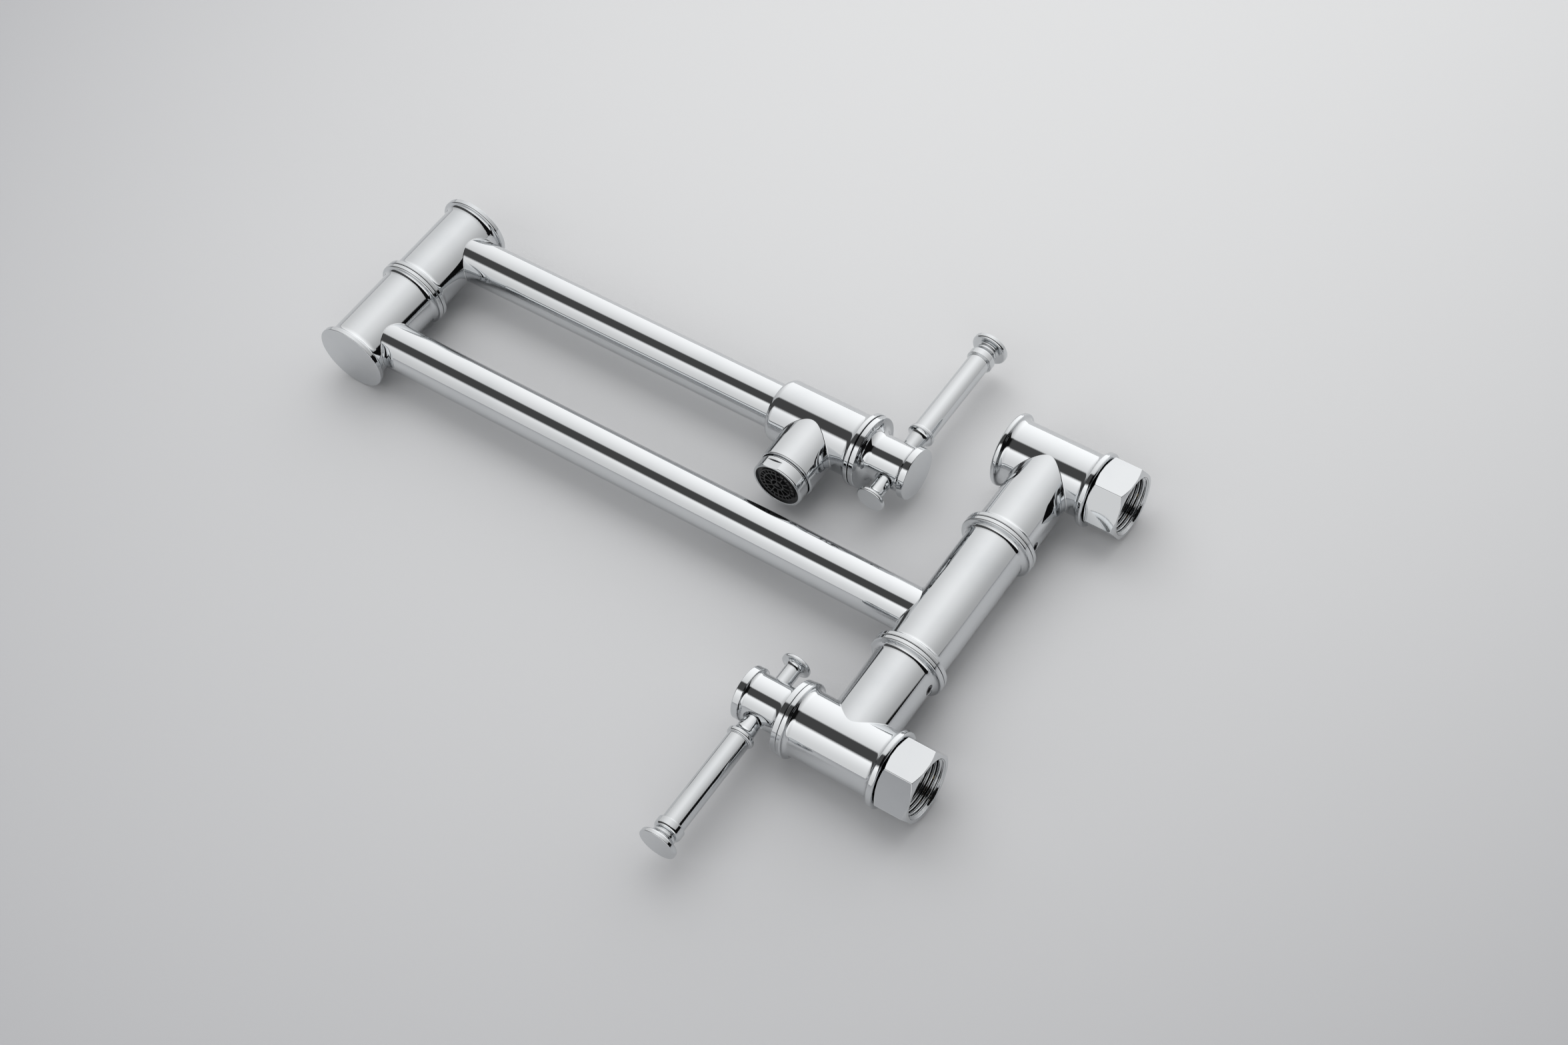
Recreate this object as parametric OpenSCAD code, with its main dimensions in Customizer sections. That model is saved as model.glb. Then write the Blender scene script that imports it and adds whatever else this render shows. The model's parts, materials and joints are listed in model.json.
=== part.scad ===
// Wall mounted pot filler with a turning column, a folding double arm and two lever valves.
// The wall is towards +Y, the column stands along +Z, and the arms leave towards -Y.
// The origin is the centre of the lower nut's thread, where it meets its countersink.

/* [Layout] */
// Distance between the axes of the two inlets
inlet_spacing = 160; // [156:1:190]
// Distance from the wall face of the union nuts to the column axis
wall_offset = 38; // [38:0.5:60]
// Distance from the column axis to the elbow axis
arm_reach = 305; // [300:5:400]
// Distance from the column axis to the outlet axis when the arms are folded
outlet_setback = 97.4; // [95:0.2:155]
// Vertical distance between the two arms
arm_pitch = 59.8; // [57:0.2:75]
// How far the lower arm lies below the middle of the column
arm_drop = 12.2; // [6:0.2:14]
// Length of the turning sleeve, seam to seam
sleeve_len = 69; // [66:0.5:78]

/* [Bodies] */
// Outside diameter of the inlet bodies
tee_d = 29.2; // [28.6:0.2:30.4]
// Outside diameter of the fixed column halves
post_d = 28.2; // [27.8:0.2:30]
// Outside diameter of the turning sleeve
sleeve_d = 28; // [27.8:0.2:30]
// Outside diameter of the elbow
elbow_d = 29.6; // [28.6:0.2:31]
// Outside diameter of the spout body
spout_d = 29; // [28.6:0.2:30.4]
// Outside diameter of the outlet branch
branch_d = 26.2; // [26:0.2:28]
// Distance from the upper arm's axis to the end of the outlet branch
branch_len = 28.9; // [28:0.1:34]
// Distance from the outlet axis back to the shoulder of the spout body
spout_back = 22.6; // [20:0.2:30]
// Rounding of the shoulder where the arm enters the spout body
shoulder_round = 3.5; // [1:0.1:3.8]
// Distance from an arm axis to the closed end of the elbow
elbow_end = 16.1; // [15:0.1:20]
// Distance from the column axis to the closed end of the upper inlet body
closed_front = 22.5; // [20:0.1:30]
// Outside diameter of the arm tubes
arm_d = 21; // [18:0.5:21.5]
// Wall of the arm tubes
arm_wall = 1.5; // [1:0.1:2.5]

/* [Rings] */
// Diameter of the rings on the column, the elbow and the inlet ends
ring_d = 34.2; // [33.6:0.2:34.6]
// Diameter of the rings at the valve fronts
front_ring_d = 33.8; // [33.2:0.2:34.6]
// Height of a ring beside a seam
ring_h = 2.3; // [2:0.1:2.6]
// Height of the hollow flare that rises to a seam ring
flare_h = 2.5; // [2.3:0.1:3.5]
// Height of a ring at a closed end
cap_ring_h = 2.6; // [2:0.1:3]
// Height of the flare that rises to a closed end's ring
cap_flare_h = 2.8; // [2.3:0.1:4]
// Height of the ring behind a union nut
inlet_ring_h = 2.9; // [2.2:0.1:3.2]
// Height of the flare that rises to the ring behind a union nut
inlet_flare_h = 2.1; // [1.8:0.1:3]
// Radial step from a flare up to its ring
ring_lip = 0.9; // [0.7:0.1:1.1]
// Rounding of the ring edges beside a flare
ring_edge = 0.8; // [0.3:0.1:0.9]
// Rounding of the ring edges beside a seam
seam_edge = 0.3; // [0.2:0.05:0.5]
// Rounding of the edge beside a union nut
inlet_edge = 1.1; // [0.3:0.1:1.2]
// Gap left open at a turning seam
seam_gap = 0.3; // [0.2:0.05:0.5]

/* [Union nuts] */
// Width across the flats of a union nut
nut_af = 30; // [29.6:0.1:32]
// Length of a union nut
nut_len = 15.2; // [14.4:0.1:18]
// Diameter of the round land left at each end of a nut
nut_land_d = 30.1; // [29.2:0.1:30.6]
// Inside diameter of the nut's thread at its crests
thread_d = 24.12; // [23.8:0.02:24.4]
// Diameter of the thread at its roots, kept clear behind it
thread_root_d = 26.5; // [26.2:0.1:26.6]
// Diameter of the countersink at the nut's mouth
mouth_d = 26.8; // [26.4:0.1:27.4]
// Thickness of the lip that the tail's collar holds back
nut_lip = 2.4; // [2:0.1:3]
// Gap between a nut and the body behind it
nut_gap = 0.4; // [0.3:0.1:1]
// Angle of the nuts about their axis
nut_turn = 28; // [0:1:60]
// Outside diameter of an inlet tail
tail_d = 18; // [16:0.2:18.4]
// Waterway through an inlet tail
tail_bore_d = 12; // [8:0.5:13]
// Length of tail that is screwed into the inlet body
tail_grip = 13.4; // [8:0.1:14]
// Thickness of the collar on a tail
collar_h = 2; // [1.5:0.1:2.5]
// Thickness of an inlet washer
washer_h = 2; // [1.5:0.1:3]
// Hole in an inlet washer
washer_hole_d = 15; // [13:0.5:17]

/* [Swivels] */
// Bore of the column and of the elbow
swivel_bore_d = 22.4; // [22:0.1:22.8]
// Radial running clearance of a pivot in its bore
run_gap = 0.1; // [0.05:0.01:0.1]
// Clearance between pieces that are fitted together
fit_gap = 0.05; // [0.02:0.01:0.1]
// Bottom diameter of a seal groove
seal_floor_d = 18.6; // [18.2:0.1:19]
// Width of a seal groove
seal_groove_h = 2.4; // [2.2:0.1:3]
// Length of the core held in each column half
core_grip = 13; // [13:0.1:15]
// Distance of a set screw from its seam
screw_from_seam = 6.5; // [6.2:0.1:7]
// Diameter of the waist of the core around its ports
waist_d = 17; // [15:0.2:18]
// Waterway through the core
core_bore_d = 11; // [8:0.5:12]
// Diameter of the ports through the core's waist
port_d = 7; // [4:0.5:8]
// Waterway through the elbow pivot
spigot_bore_d = 15; // [12:0.5:15.4]
// Depth of the recess for a thrust washer
recess_h = 1; // [0.6:0.1:1.4]
// Outside diameter of the recess for a thrust washer
recess_d = 28.4; // [26:0.2:29]
// Outside diameter of a set screw
set_screw_d = 4.6; // [4:0.1:5]
// Diameter of a set screw's tip
set_tip_d = 2.6; // [2:0.1:3]
// Width across the flats of a set screw's socket
set_socket_af = 2.5; // [2:0.1:2.8]

/* [Valves] */
// Distance from a valve's crossing axis to its front seam
valve_front = 23.2; // [22.6:0.1:28]
// Distance from a valve's crossing axis back to its seat
valve_seat = 5.5; // [5.4:0.1:7]
// Room between a cartridge's barrel and its chamber
chamber_clear = 1.2; // [1:0.1:1.4]
// Radial step from the chamber to the threaded head of a cartridge
head_step = 1.5; // [1:0.1:1.7]
// Depth of the threaded head in its body
head_h = 9; // [8:0.1:10]
// Outside diameter of the cartridge's barrel
barrel_d = 16.6; // [16:0.1:17.4]
// Wall of the cartridge's barrel
barrel_wall = 1.6; // [1.2:0.1:1.8]
// Width across the flats of the cartridge's key
key_af = 14; // [12:0.5:14]
// Height of the cartridge's key
key_h = 2.2; // [1.5:0.1:2.4]
// Diameter of the cartridge's neck
neck_bush_d = 11.2; // [10:0.2:11.4]
// Height of the cartridge's neck over its key
neck_bush_h = 2.2; // [1.5:0.1:2.4]
// Diameter of a valve stem
stem_d = 7.6; // [7:0.1:8]
// Width across the two flats of the stem's drive
drive_af = 6.2; // [5.4:0.1:6.6]
// Thickness of the seat gasket
gasket_h = 1.8; // [1.2:0.1:2.4]
// Thickness of the fixed ceramic disc
fixed_h = 3; // [2:0.1:3.4]
// Thickness of the moving ceramic disc
moving_h = 2.5; // [2:0.1:3]
// Waterway into a valve
port_in_d = 10; // [6:0.5:10.4]
// Waterway out of a valve
port_out_d = 10; // [6:0.5:10.4]

/* [Handles] */
// Diameter of a handle's flange
flange_d = 33.2; // [30:0.2:34]
// Distance from the seam to the top of the flange
flange_h = 2.8; // [2.2:0.1:4]
// Radius of the hollow flare from the flange to the hub
hub_flare = 4; // [2:0.1:5]
// Diameter of a handle's hub
hub_d = 21; // [20:0.2:23]
// Distance from the seam to the lever's axis
lever_station = 15.3; // [15:0.1:17]
// Distance from the seam to the foot of the small flare at the hub's end
hub_waist = 20.4; // [20:0.1:22]
// Length of the small flare at the hub's end
hub_end_flare = 1.6; // [1:0.1:2]
// Diameter of the hub under its cap
hub_end_d = 22.6; // [22:0.1:23.2]
// Diameter of the hub cap
cap_d = 23.8; // [23:0.1:26]
// Thickness of the hub cap
cap_h = 3.4; // [2:0.1:5]
// Rounding of the small turned edges
small_edge = 0.4; // [0.2:0.05:0.5]
// Diameter of the recess around a lever or a knob
socket_recess_d = 9.4; // [9.2:0.1:10]
// Distance from the hub's axis to the floor of that recess
socket_floor = 9; // [8.6:0.1:9.4]
// Diameter of a lever's stud in the hub
stud_d = 6; // [4:0.1:6.4]
// Distance from the hub's axis to the end of a stud
stud_end = 6; // [5.6:0.1:7]

/* [Lever] */
// Diameter of the lever's neck at the hub
neck_d = 7.7; // [7:0.1:8.4]
// Diameter of the lever's neck at its collar
neck_top_d = 8.8; // [8.2:0.1:10]
// Distance from the hub's axis to the end of the neck
neck_end = 15.5; // [13:0.1:18]
// Length of the flare that rises to the collar
collar_flare = 2.7; // [2.2:0.1:3.5]
// Diameter of the collar
collar_d = 12.4; // [11.8:0.1:14]
// Length of the collar
collar_len = 2.1; // [1.6:0.1:3]
// Diameter of the grip
grip_d = 10.4; // [9:0.1:11.2]
// Length of the grip with its two end coves
grip_len = 45.7; // [30:0.1:80]
// Length of the cove at each end of the grip
grip_cove = 0.4; // [0.3:0.05:0.6]
// Diameter of the ferrule after the grip
ferrule_d = 12.4; // [11.8:0.1:14]
// Length of the ferrule
ferrule_len = 4.6; // [2:0.1:6]
// Diameter of the grooves beside the pearl
groove_d = 9.2; // [8:0.1:9.8]
// Width of the grooves beside the pearl
groove_len = 0.4; // [0.3:0.05:1]
// Diameter of the pearl
pearl_d = 10.4; // [10.2:0.1:12]
// Length of the pearl
pearl_len = 1.4; // [1:0.1:2]
// Length of the flare that rises to the lever's rim
trumpet_len = 1; // [0.6:0.1:2]
// Diameter of the lever's rim
rim_d = 17; // [15:0.1:17.4]
// Thickness of the lever's rim
rim_h = 2.6; // [2:0.1:4]

/* [Knob] */
// Diameter of the knob's stem
knob_stem_d = 7.4; // [6.6:0.1:8.4]
// Distance from the hub's axis to the end of the knob's stem
knob_stem_end = 17.4; // [14:0.1:24]
// Length of the knob's trumpet
knob_trumpet_len = 2.6; // [2.6:0.1:4]
// Diameter of the knob's rim
knob_rim_d = 13.4; // [11:0.1:13.6]
// Thickness of the knob's rim
knob_rim_h = 1.8; // [1:0.1:2.5]

/* [Aerator] */
// Diameter of the aerator ring
aerator_d = 24.6; // [24.2:0.1:26]
// Height of the aerator ring below the branch
aerator_h = 6.9; // [5:0.1:9]
// Diameter of the aerator's thread in the branch
aerator_thread_d = 24; // [23.6:0.1:24.2]
// Length of the aerator's thread
aerator_thread_h = 6; // [4:0.1:7]
// Diameter of the black insert
insert_d = 21.8; // [20:0.1:22]
// Depth of the insert's face in its ring
insert_sink = 0.45; // [0.2:0.05:1]
// Depth of the wrench flats on the ring
wrench_flat = 0.7; // [0.4:0.1:0.9]
// Height of the wrench flats
wrench_h = 4.2; // [3:0.1:4.6]
// Angle of the wrench flats about the outlet
wrench_turn = 50; // [0:1:90]
// Number of ribs in the insert's outer row
rib_count = 24; // [12:1:30]
// Thickness of the rubber gasket over the insert
aerator_gasket_h = 1.6; // [1:0.1:2]
// Hole in the rubber gasket over the insert
gasket_bore_d = 16; // [10:0.5:19]
// Thickness of the screen over the insert
screen_h = 1; // [0.6:0.1:1.5]

/* [Hidden] */
$fn = 96;

// How far a cut runs past the face that it opens
over = 1;

// Places along the inlets, with the wall towards +Y
countersink = (mouth_d - thread_d) / 2;
column_y = countersink - wall_offset;
nut_y = countersink - nut_len;
tee_back = nut_y - nut_gap - column_y;
tail_start = tee_back - tail_grip;
collar_gap = 0.2;
collar_start = tee_back + nut_gap + nut_lip + collar_gap;
thread_start = nut_lip + collar_gap + collar_h + washer_h;
collar_d2 = thread_d - 2 * run_gap;

// Heights on the column
column_mid = inlet_spacing / 2;
lower_seam = column_mid - sleeve_len / 2;
upper_seam = column_mid + sleeve_len / 2;
lower_arm_z = column_mid - arm_drop;
upper_arm_z = lower_arm_z + arm_pitch;
elbow_y = column_y - arm_reach;
elbow_seam = (lower_arm_z + upper_arm_z) / 2;
spout_y = column_y - outlet_setback;

// Pivots and their seals
core_d = swivel_bore_d - 2 * run_gap;
seal_in_land = 5.5;
seal_in_post = 10.8;
land_len = 10.4;
dog_floor_d = 19.6;
dog_groove_h = 3.4;
dog_gap = 0.3;
socket_depth = 2.4;
spigot_clear = 1.5;
core_cap = 6;
casting_wall = 5;
elbow_seal_low = 5;
elbow_seal_first = 4.5;
elbow_screw_up = 9;
elbow_seal_last = 13.5;
arm_socket = 11;

// Stations inside a valve, measured outwards from its seam
chamber_d = barrel_d + 2 * chamber_clear;
head_d = chamber_d + 2 * head_step;
seat_at = -valve_front - valve_seat;
disc_at = seat_at + gasket_h;
disc_gap = 0.05;
moving_at = disc_at + fixed_h + disc_gap;
bar_at = moving_at + moving_h + disc_gap;
bar_h = 2;
bar_w = 5;
tongue_w = 2.4;
tongue_h = 1;
window_end = -15;
window_w = 9;
barrel_seal_land = 3;
barrel_seal_h = 1.8;
barrel_seal_deep = 1.5;
barrel_seal_floor_d = chamber_d - 2 * barrel_seal_deep;
stem_seal_at = -8;
stem_seal_h = 1.5;
stem_seal_floor_d = 5.8;
neck_top = key_h + neck_bush_h;
clip_h = 0.8;
clip_d = 10.4;
clip_slot = 2.5;
clip_floor_d = 6.4;
gasket_inset = 0.8;
gasket_d = barrel_d - 2 * gasket_inset;
gasket_w = 3;
gasket_hole_d = gasket_d - 2 * gasket_w;
disc_port_in_d = 3;
disc_rim = 1.4;
disc_port_out_d = barrel_d - 2 * barrel_wall - 2 * disc_rim;

// Stations inside a handle, measured outwards from its seam
skirt_d = 17;
skirt_h = 7;
drive_start = 6.2;
drive_end = 12.8;
web_start = 13;
web_end = 15.8;
screw_d = 3.9;
screw_start = 7.5;
screw_head_d = 7;
screw_head_h = 2.4;
screw_socket_af = 3;
screw_socket_h = 1.4;
screw_bore_d = 9;
cap_spigot_h = 3;
hub_end = hub_waist + hub_end_flare;

// Rounding of a lever's bands, as shares of their lengths
collar_round_share = 0.4;
ferrule_round_share = 0.4;
rim_round_share = 0.45;

// Rows of the aerator's insert, as shares of its diameter
row_out_share = 0.82;
row_mid_share = 0.62;
row_in_share = 0.28;
rim_sink = 0.9;
grid_wall = 0.7;
grid_depth = 6;
grid_rib = 0.6;
hub_core_d = 2.4;
hub_ribs = 3;
screen_hole_d = 1.2;
screen_rows = 3;
screen_pitch = 2.4;

// Outline shapes, with the radius along x and the axis along y
module cove(low_r, high_r, h) {
    rise = high_r - low_r;
    sweep = (rise * rise + h * h) / (2 * rise);
    difference() {
        square([high_r, h]);
        translate([low_r + sweep, 0]) circle(sweep);
    }
}

module band(r, h, low_edge, high_edge) {
    square([r - low_edge, h - high_edge]);
    translate([0, low_edge]) square([r - high_edge, h - low_edge]);
    translate([0, low_edge]) square([r, h - low_edge - high_edge]);
    translate([r - low_edge, low_edge]) circle(low_edge);
    translate([r - high_edge, h - high_edge]) circle(high_edge);
}

// Rings, each with its diameter, height, flare and the rounding of its free edge
seam_ring = [ring_d, ring_h, flare_h, seam_edge];
front_ring = [front_ring_d, ring_h, flare_h, seam_edge];
closed_ring = [front_ring_d, cap_ring_h, cap_flare_h, seam_edge];
elbow_ring = [ring_d, cap_ring_h, cap_flare_h, seam_edge];
inlet_ring = [ring_d, inlet_ring_h, inlet_flare_h, inlet_edge];

// A ring that ends at y = 0, on a flare that grows out of a body below it
module ring_end(body_d, ring) {
    d = ring[0];
    h = ring[1];
    flare = ring[2];
    translate([0, -h - flare]) cove(body_d / 2, d / 2 - ring_lip, flare);
    translate([0, -h]) band(d / 2, h, ring_edge, ring[3]);
}

// A turned body between two ring ends, from y = low to y = high
module turned(body_d, low, high, low_ring, high_ring) {
    rotate_extrude() union() {
        translate([0, low + low_ring[1]])
            square([body_d / 2, high - low - low_ring[1] - high_ring[1]]);
        translate([0, high]) ring_end(body_d, high_ring);
        translate([0, low]) mirror([0, 1]) ring_end(body_d, low_ring);
    }
}

module tube(d, bore_d, h) {
    difference() {
        cylinder(d = d, h = h);
        translate([0, 0, -over]) cylinder(d = bore_d, h = h + 2 * over);
    }
}

module seal(floor_d, wall_d) {
    section = (wall_d - floor_d) / 2 - 2 * fit_gap;
    rotate_extrude() translate([(floor_d + wall_d) / 4, 0]) circle(d = section);
}

// Groove around a shaft, centred on z = 0
module groove(shaft_d, floor_d, h) {
    translate([0, 0, -h / 2]) tube(shaft_d + over, floor_d, h);
}

module hexagon(af, h) {
    cylinder(d = af / cos(30), h = h, $fn = 6);
}

// Frames of the main axes
module at_column() {
    translate([0, column_y, 0]) children();
}

module at_elbow() {
    translate([0, elbow_y, 0]) children();
}

module along_y() {
    rotate([-90, 0, 0]) children();
}

module at_inlet(z) {
    translate([0, column_y, z]) along_y() children();
}

module at_lower_valve() {
    translate([0, column_y - valve_front, 0]) rotate([90, 0, 0]) children();
}

module at_spout_valve() {
    translate([0, spout_y + valve_front, upper_arm_z]) along_y() children();
}

// Inlet bodies
module tail_socket() {
    translate([0, 0, tail_start]) cylinder(d = tail_d + 2 * fit_gap, h = tail_grip + over);
}

// Bore of a column half, from its seam inwards, with the hole for its set screw
module post_bore(depth) {
    translate([0, 0, -depth]) cylinder(d = swivel_bore_d, h = depth + over);
    translate([0, 0, -screw_from_seam]) along_y() cylinder(d = set_screw_d, h = post_d);
}

// The room for a cartridge, open at the seam, with its inlet behind the seat
module valve_chamber(back) {
    translate([0, 0, seat_at]) cylinder(d = chamber_d, h = -seat_at + over);
    translate([0, 0, -head_h]) cylinder(d = head_d, h = head_h + over);
    translate([0, 0, -valve_front - back]) cylinder(d = port_in_d, h = back);
}

module column_half(seam) {
    rotate_extrude() union() {
        square([post_d / 2, seam - seam_gap / 2 - ring_h]);
        translate([0, seam - seam_gap / 2]) ring_end(post_d, seam_ring);
    }
}

module lower_tee() color("silver") {
    difference() {
        union() {
            at_inlet(0) turned(tee_d, -valve_front, tee_back, front_ring, inlet_ring);
            at_column() column_half(lower_seam);
        }
        at_inlet(0) tail_socket();
        at_lower_valve() valve_chamber(tail_start + over);
        at_column() {
            translate([0, 0, lower_seam]) post_bore(core_grip);
            cylinder(d = port_out_d, h = lower_seam);
        }
    }
}

module upper_tee() color("silver") {
    difference() {
        union() {
            at_inlet(inlet_spacing)
                turned(tee_d, -closed_front, tee_back, closed_ring, inlet_ring);
            translate([0, column_y, inlet_spacing]) mirror([0, 0, 1])
                column_half(inlet_spacing - upper_seam);
        }
        at_inlet(inlet_spacing) {
            tail_socket();
            translate([0, 0, casting_wall - closed_front])
                cylinder(d = port_in_d, h = closed_front - casting_wall + tail_start + over);
        }
        translate([0, column_y, upper_seam]) mirror([0, 0, 1]) post_bore(core_grip);
        translate([0, column_y, upper_seam])
            cylinder(d = port_out_d, h = inlet_spacing - upper_seam);
    }
}

// Collared tail that holds a union nut captive
module inlet_tail() {
    difference() {
        union() {
            translate([0, 0, tail_start]) cylinder(d = tail_d, h = collar_start - tail_start);
            translate([0, 0, collar_start]) cylinder(d = collar_d2, h = collar_h);
        }
        translate([0, 0, tail_start - over])
            cylinder(d = tail_bore_d, h = collar_start - tail_start + collar_h + 2 * over);
    }
}

module inlet_washer() {
    translate([0, 0, collar_start + collar_h]) tube(collar_d2, washer_hole_d, washer_h);
}

module lower_inlet_tail() color("goldenrod") at_inlet(0) inlet_tail();
module upper_inlet_tail() color("goldenrod") at_inlet(inlet_spacing) inlet_tail();
module lower_inlet_washer() color("dimgray") at_inlet(0) inlet_washer();
module upper_inlet_washer() color("dimgray") at_inlet(inlet_spacing) inlet_washer();

// Union nut with chamfered corners, from its lip at z = 0 to its mouth
module union_nut() {
    reach_r = nut_af / cos(30) / 2 + over;
    chamfer = (reach_r - nut_land_d / 2) * tan(30);
    difference() {
        intersection() {
            rotate(nut_turn) hexagon(nut_af, nut_len);
            rotate_extrude() polygon([
                [0, 0], [nut_land_d / 2, 0], [reach_r, chamfer],
                [reach_r, nut_len - chamfer], [nut_land_d / 2, nut_len], [0, nut_len]
            ]);
        }
        translate([0, 0, -over]) cylinder(d = tail_d + 2 * run_gap, h = nut_len);
        translate([0, 0, nut_lip]) cylinder(d = thread_root_d, h = thread_start - nut_lip);
        translate([0, 0, nut_lip]) cylinder(d = thread_d, h = nut_len);
        translate([0, 0, nut_len - countersink])
            cylinder(d1 = thread_d, d2 = mouth_d + 2 * over, h = countersink + over);
    }
}

module lower_union_nut() color("silver") translate([0, nut_y, 0]) along_y() union_nut();
module upper_union_nut() color("silver")
    translate([0, nut_y, inlet_spacing]) along_y() union_nut();

// Swivel column
module swivel_core() color("goldenrod") at_column() {
    bottom = lower_seam - core_grip;
    top = upper_seam + core_grip;
    difference() {
        translate([0, 0, bottom]) cylinder(d = core_d, h = top - bottom);
        translate([0, 0, lower_seam + land_len]) difference() {
            cylinder(d = core_d + over, h = sleeve_len - 2 * land_len);
            translate([0, 0, -over]) cylinder(d = waist_d, h = sleeve_len);
        }
        for (side = [-1, 1]) {
            seam = column_mid + side * sleeve_len / 2;
            translate([0, 0, seam - side * seal_in_land])
                groove(core_d, seal_floor_d, seal_groove_h);
            translate([0, 0, seam + side * seal_in_post])
                groove(core_d, seal_floor_d, seal_groove_h);
            translate([0, 0, seam + side * screw_from_seam])
                groove(core_d, dog_floor_d, dog_groove_h);
        }
        translate([0, 0, bottom - over])
            cylinder(d = core_bore_d, h = lower_arm_z - bottom + core_cap + over);
        for (turn = [0, 90]) translate([0, 0, lower_arm_z]) rotate([0, 90, turn])
            cylinder(d = port_d, h = core_d, center = true);
    }
}

module core_o_rings() color("dimgray") at_column() {
    for (side = [-1, 1], place = [-seal_in_land, seal_in_post])
        translate([0, 0, column_mid + side * (sleeve_len / 2 + place)])
            seal(seal_floor_d, swivel_bore_d);
}

// Headless screw along z, flush with a round body, its tip short of the groove's floor
module set_screw(body_d) {
    tip = dog_floor_d / 2 + dog_gap;
    shoulder = swivel_bore_d / 2 + fit_gap;
    face = sqrt(body_d * body_d - set_screw_d * set_screw_d) / 2 - fit_gap;
    difference() {
        union() {
            translate([0, 0, tip]) cylinder(d = set_tip_d, h = shoulder - tip);
            translate([0, 0, shoulder])
                cylinder(d = set_screw_d - 2 * fit_gap, h = face - shoulder);
        }
        translate([0, 0, face - socket_depth]) hexagon(set_socket_af, socket_depth + over);
    }
}

module core_set_screws() color("gray") {
    for (side = [-1, 1])
        translate([0, column_y, column_mid + side * (sleeve_len / 2 + screw_from_seam)])
            along_y() set_screw(post_d);
}

// Hole for an arm, running from an axis towards the arm's side
module arm_hole(z) {
    translate([0, 0, z]) along_y() cylinder(d = arm_d + 2 * fit_gap, h = elbow_d);
}

module swivel_sleeve() color("silver") at_column() {
    low = lower_seam + seam_gap / 2;
    high = upper_seam - seam_gap / 2;
    difference() {
        turned(sleeve_d, low, high, seam_ring, seam_ring);
        translate([0, 0, low - over]) cylinder(d = swivel_bore_d, h = high - low + 2 * over);
        translate([0, 0, low - over]) cylinder(d = recess_d, h = recess_h + over);
        translate([0, 0, high - recess_h]) cylinder(d = recess_d, h = recess_h + over);
        rotate(180) arm_hole(lower_arm_z);
    }
}

module thrust_washer() {
    tube(recess_d - 4 * fit_gap, swivel_bore_d + 4 * fit_gap, recess_h + seam_gap - fit_gap);
}

module swivel_washers() color("white") at_column() {
    translate([0, 0, lower_seam - seam_gap / 2 + fit_gap]) thrust_washer();
    translate([0, 0, upper_seam - seam_gap / 2 - recess_h]) thrust_washer();
}

// Arm tube along y at height z, coped to the bores that it opens into
module arm_tube(start, end, z) {
    translate([0, start, z]) along_y() tube(arm_d, arm_d - 2 * arm_wall, end - start);
}

module bore_cope(y) {
    translate([0, y, 0]) cylinder(d = swivel_bore_d + 2 * fit_gap, h = 2 * inlet_spacing);
}

module lower_arm_tube() color("silver") difference() {
    arm_tube(elbow_y, column_y, lower_arm_z);
    bore_cope(elbow_y);
    bore_cope(column_y);
}

module upper_arm_tube() color("silver") difference() {
    arm_tube(elbow_y, spout_y - spout_back + arm_socket, upper_arm_z);
    bore_cope(elbow_y);
}

// Elbow
module elbow_lower_body() color("silver") at_elbow() {
    low = lower_arm_z - elbow_end;
    high = elbow_seam - seam_gap / 2;
    floor_z = lower_arm_z - arm_d / 2 - over;
    difference() {
        turned(elbow_d, low, high, elbow_ring, seam_ring);
        translate([0, 0, floor_z]) cylinder(d = swivel_bore_d, h = high - floor_z + over);
        arm_hole(lower_arm_z);
    }
}

module elbow_upper_body() color("silver") at_elbow() {
    low = elbow_seam + seam_gap / 2;
    high = upper_arm_z + elbow_end;
    roof_z = upper_arm_z + arm_d / 2 + over;
    difference() {
        turned(elbow_d, low, high, seam_ring, elbow_ring);
        translate([0, 0, low - over]) cylinder(d = swivel_bore_d, h = roof_z - low + over);
        translate([0, 0, low - over]) cylinder(d = recess_d, h = recess_h + over);
        arm_hole(upper_arm_z);
        translate([0, 0, elbow_seam + elbow_screw_up]) rotate([90, 0, 0])
            cylinder(d = set_screw_d, h = elbow_d);
    }
}

module elbow_spigot() color("goldenrod") at_elbow() {
    bottom = lower_arm_z + arm_d / 2 + spigot_clear;
    top = upper_arm_z - arm_d / 2 - spigot_clear;
    difference() {
        union() {
            translate([0, 0, bottom])
                cylinder(d = swivel_bore_d - 2 * fit_gap, h = elbow_seam - bottom);
            translate([0, 0, elbow_seam]) cylinder(d = core_d, h = top - elbow_seam);
        }
        translate([0, 0, bottom - over])
            cylinder(d = spigot_bore_d, h = top - bottom + 2 * over);
        for (up = [-elbow_seal_low, elbow_seal_first, elbow_seal_last])
            translate([0, 0, elbow_seam + up])
                groove(swivel_bore_d, seal_floor_d, seal_groove_h);
        translate([0, 0, elbow_seam + elbow_screw_up])
            groove(core_d, dog_floor_d, dog_groove_h);
    }
}

module elbow_o_rings() color("dimgray") at_elbow() {
    for (up = [-elbow_seal_low, elbow_seal_first, elbow_seal_last])
        translate([0, 0, elbow_seam + up]) seal(seal_floor_d, swivel_bore_d);
}

module elbow_washer() color("white") at_elbow() {
    translate([0, 0, elbow_seam - seam_gap / 2 + fit_gap]) thrust_washer();
}

module elbow_set_screw() color("gray") at_elbow() {
    translate([0, 0, elbow_seam + elbow_screw_up]) rotate([90, 0, 0]) set_screw(elbow_d);
}

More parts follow.
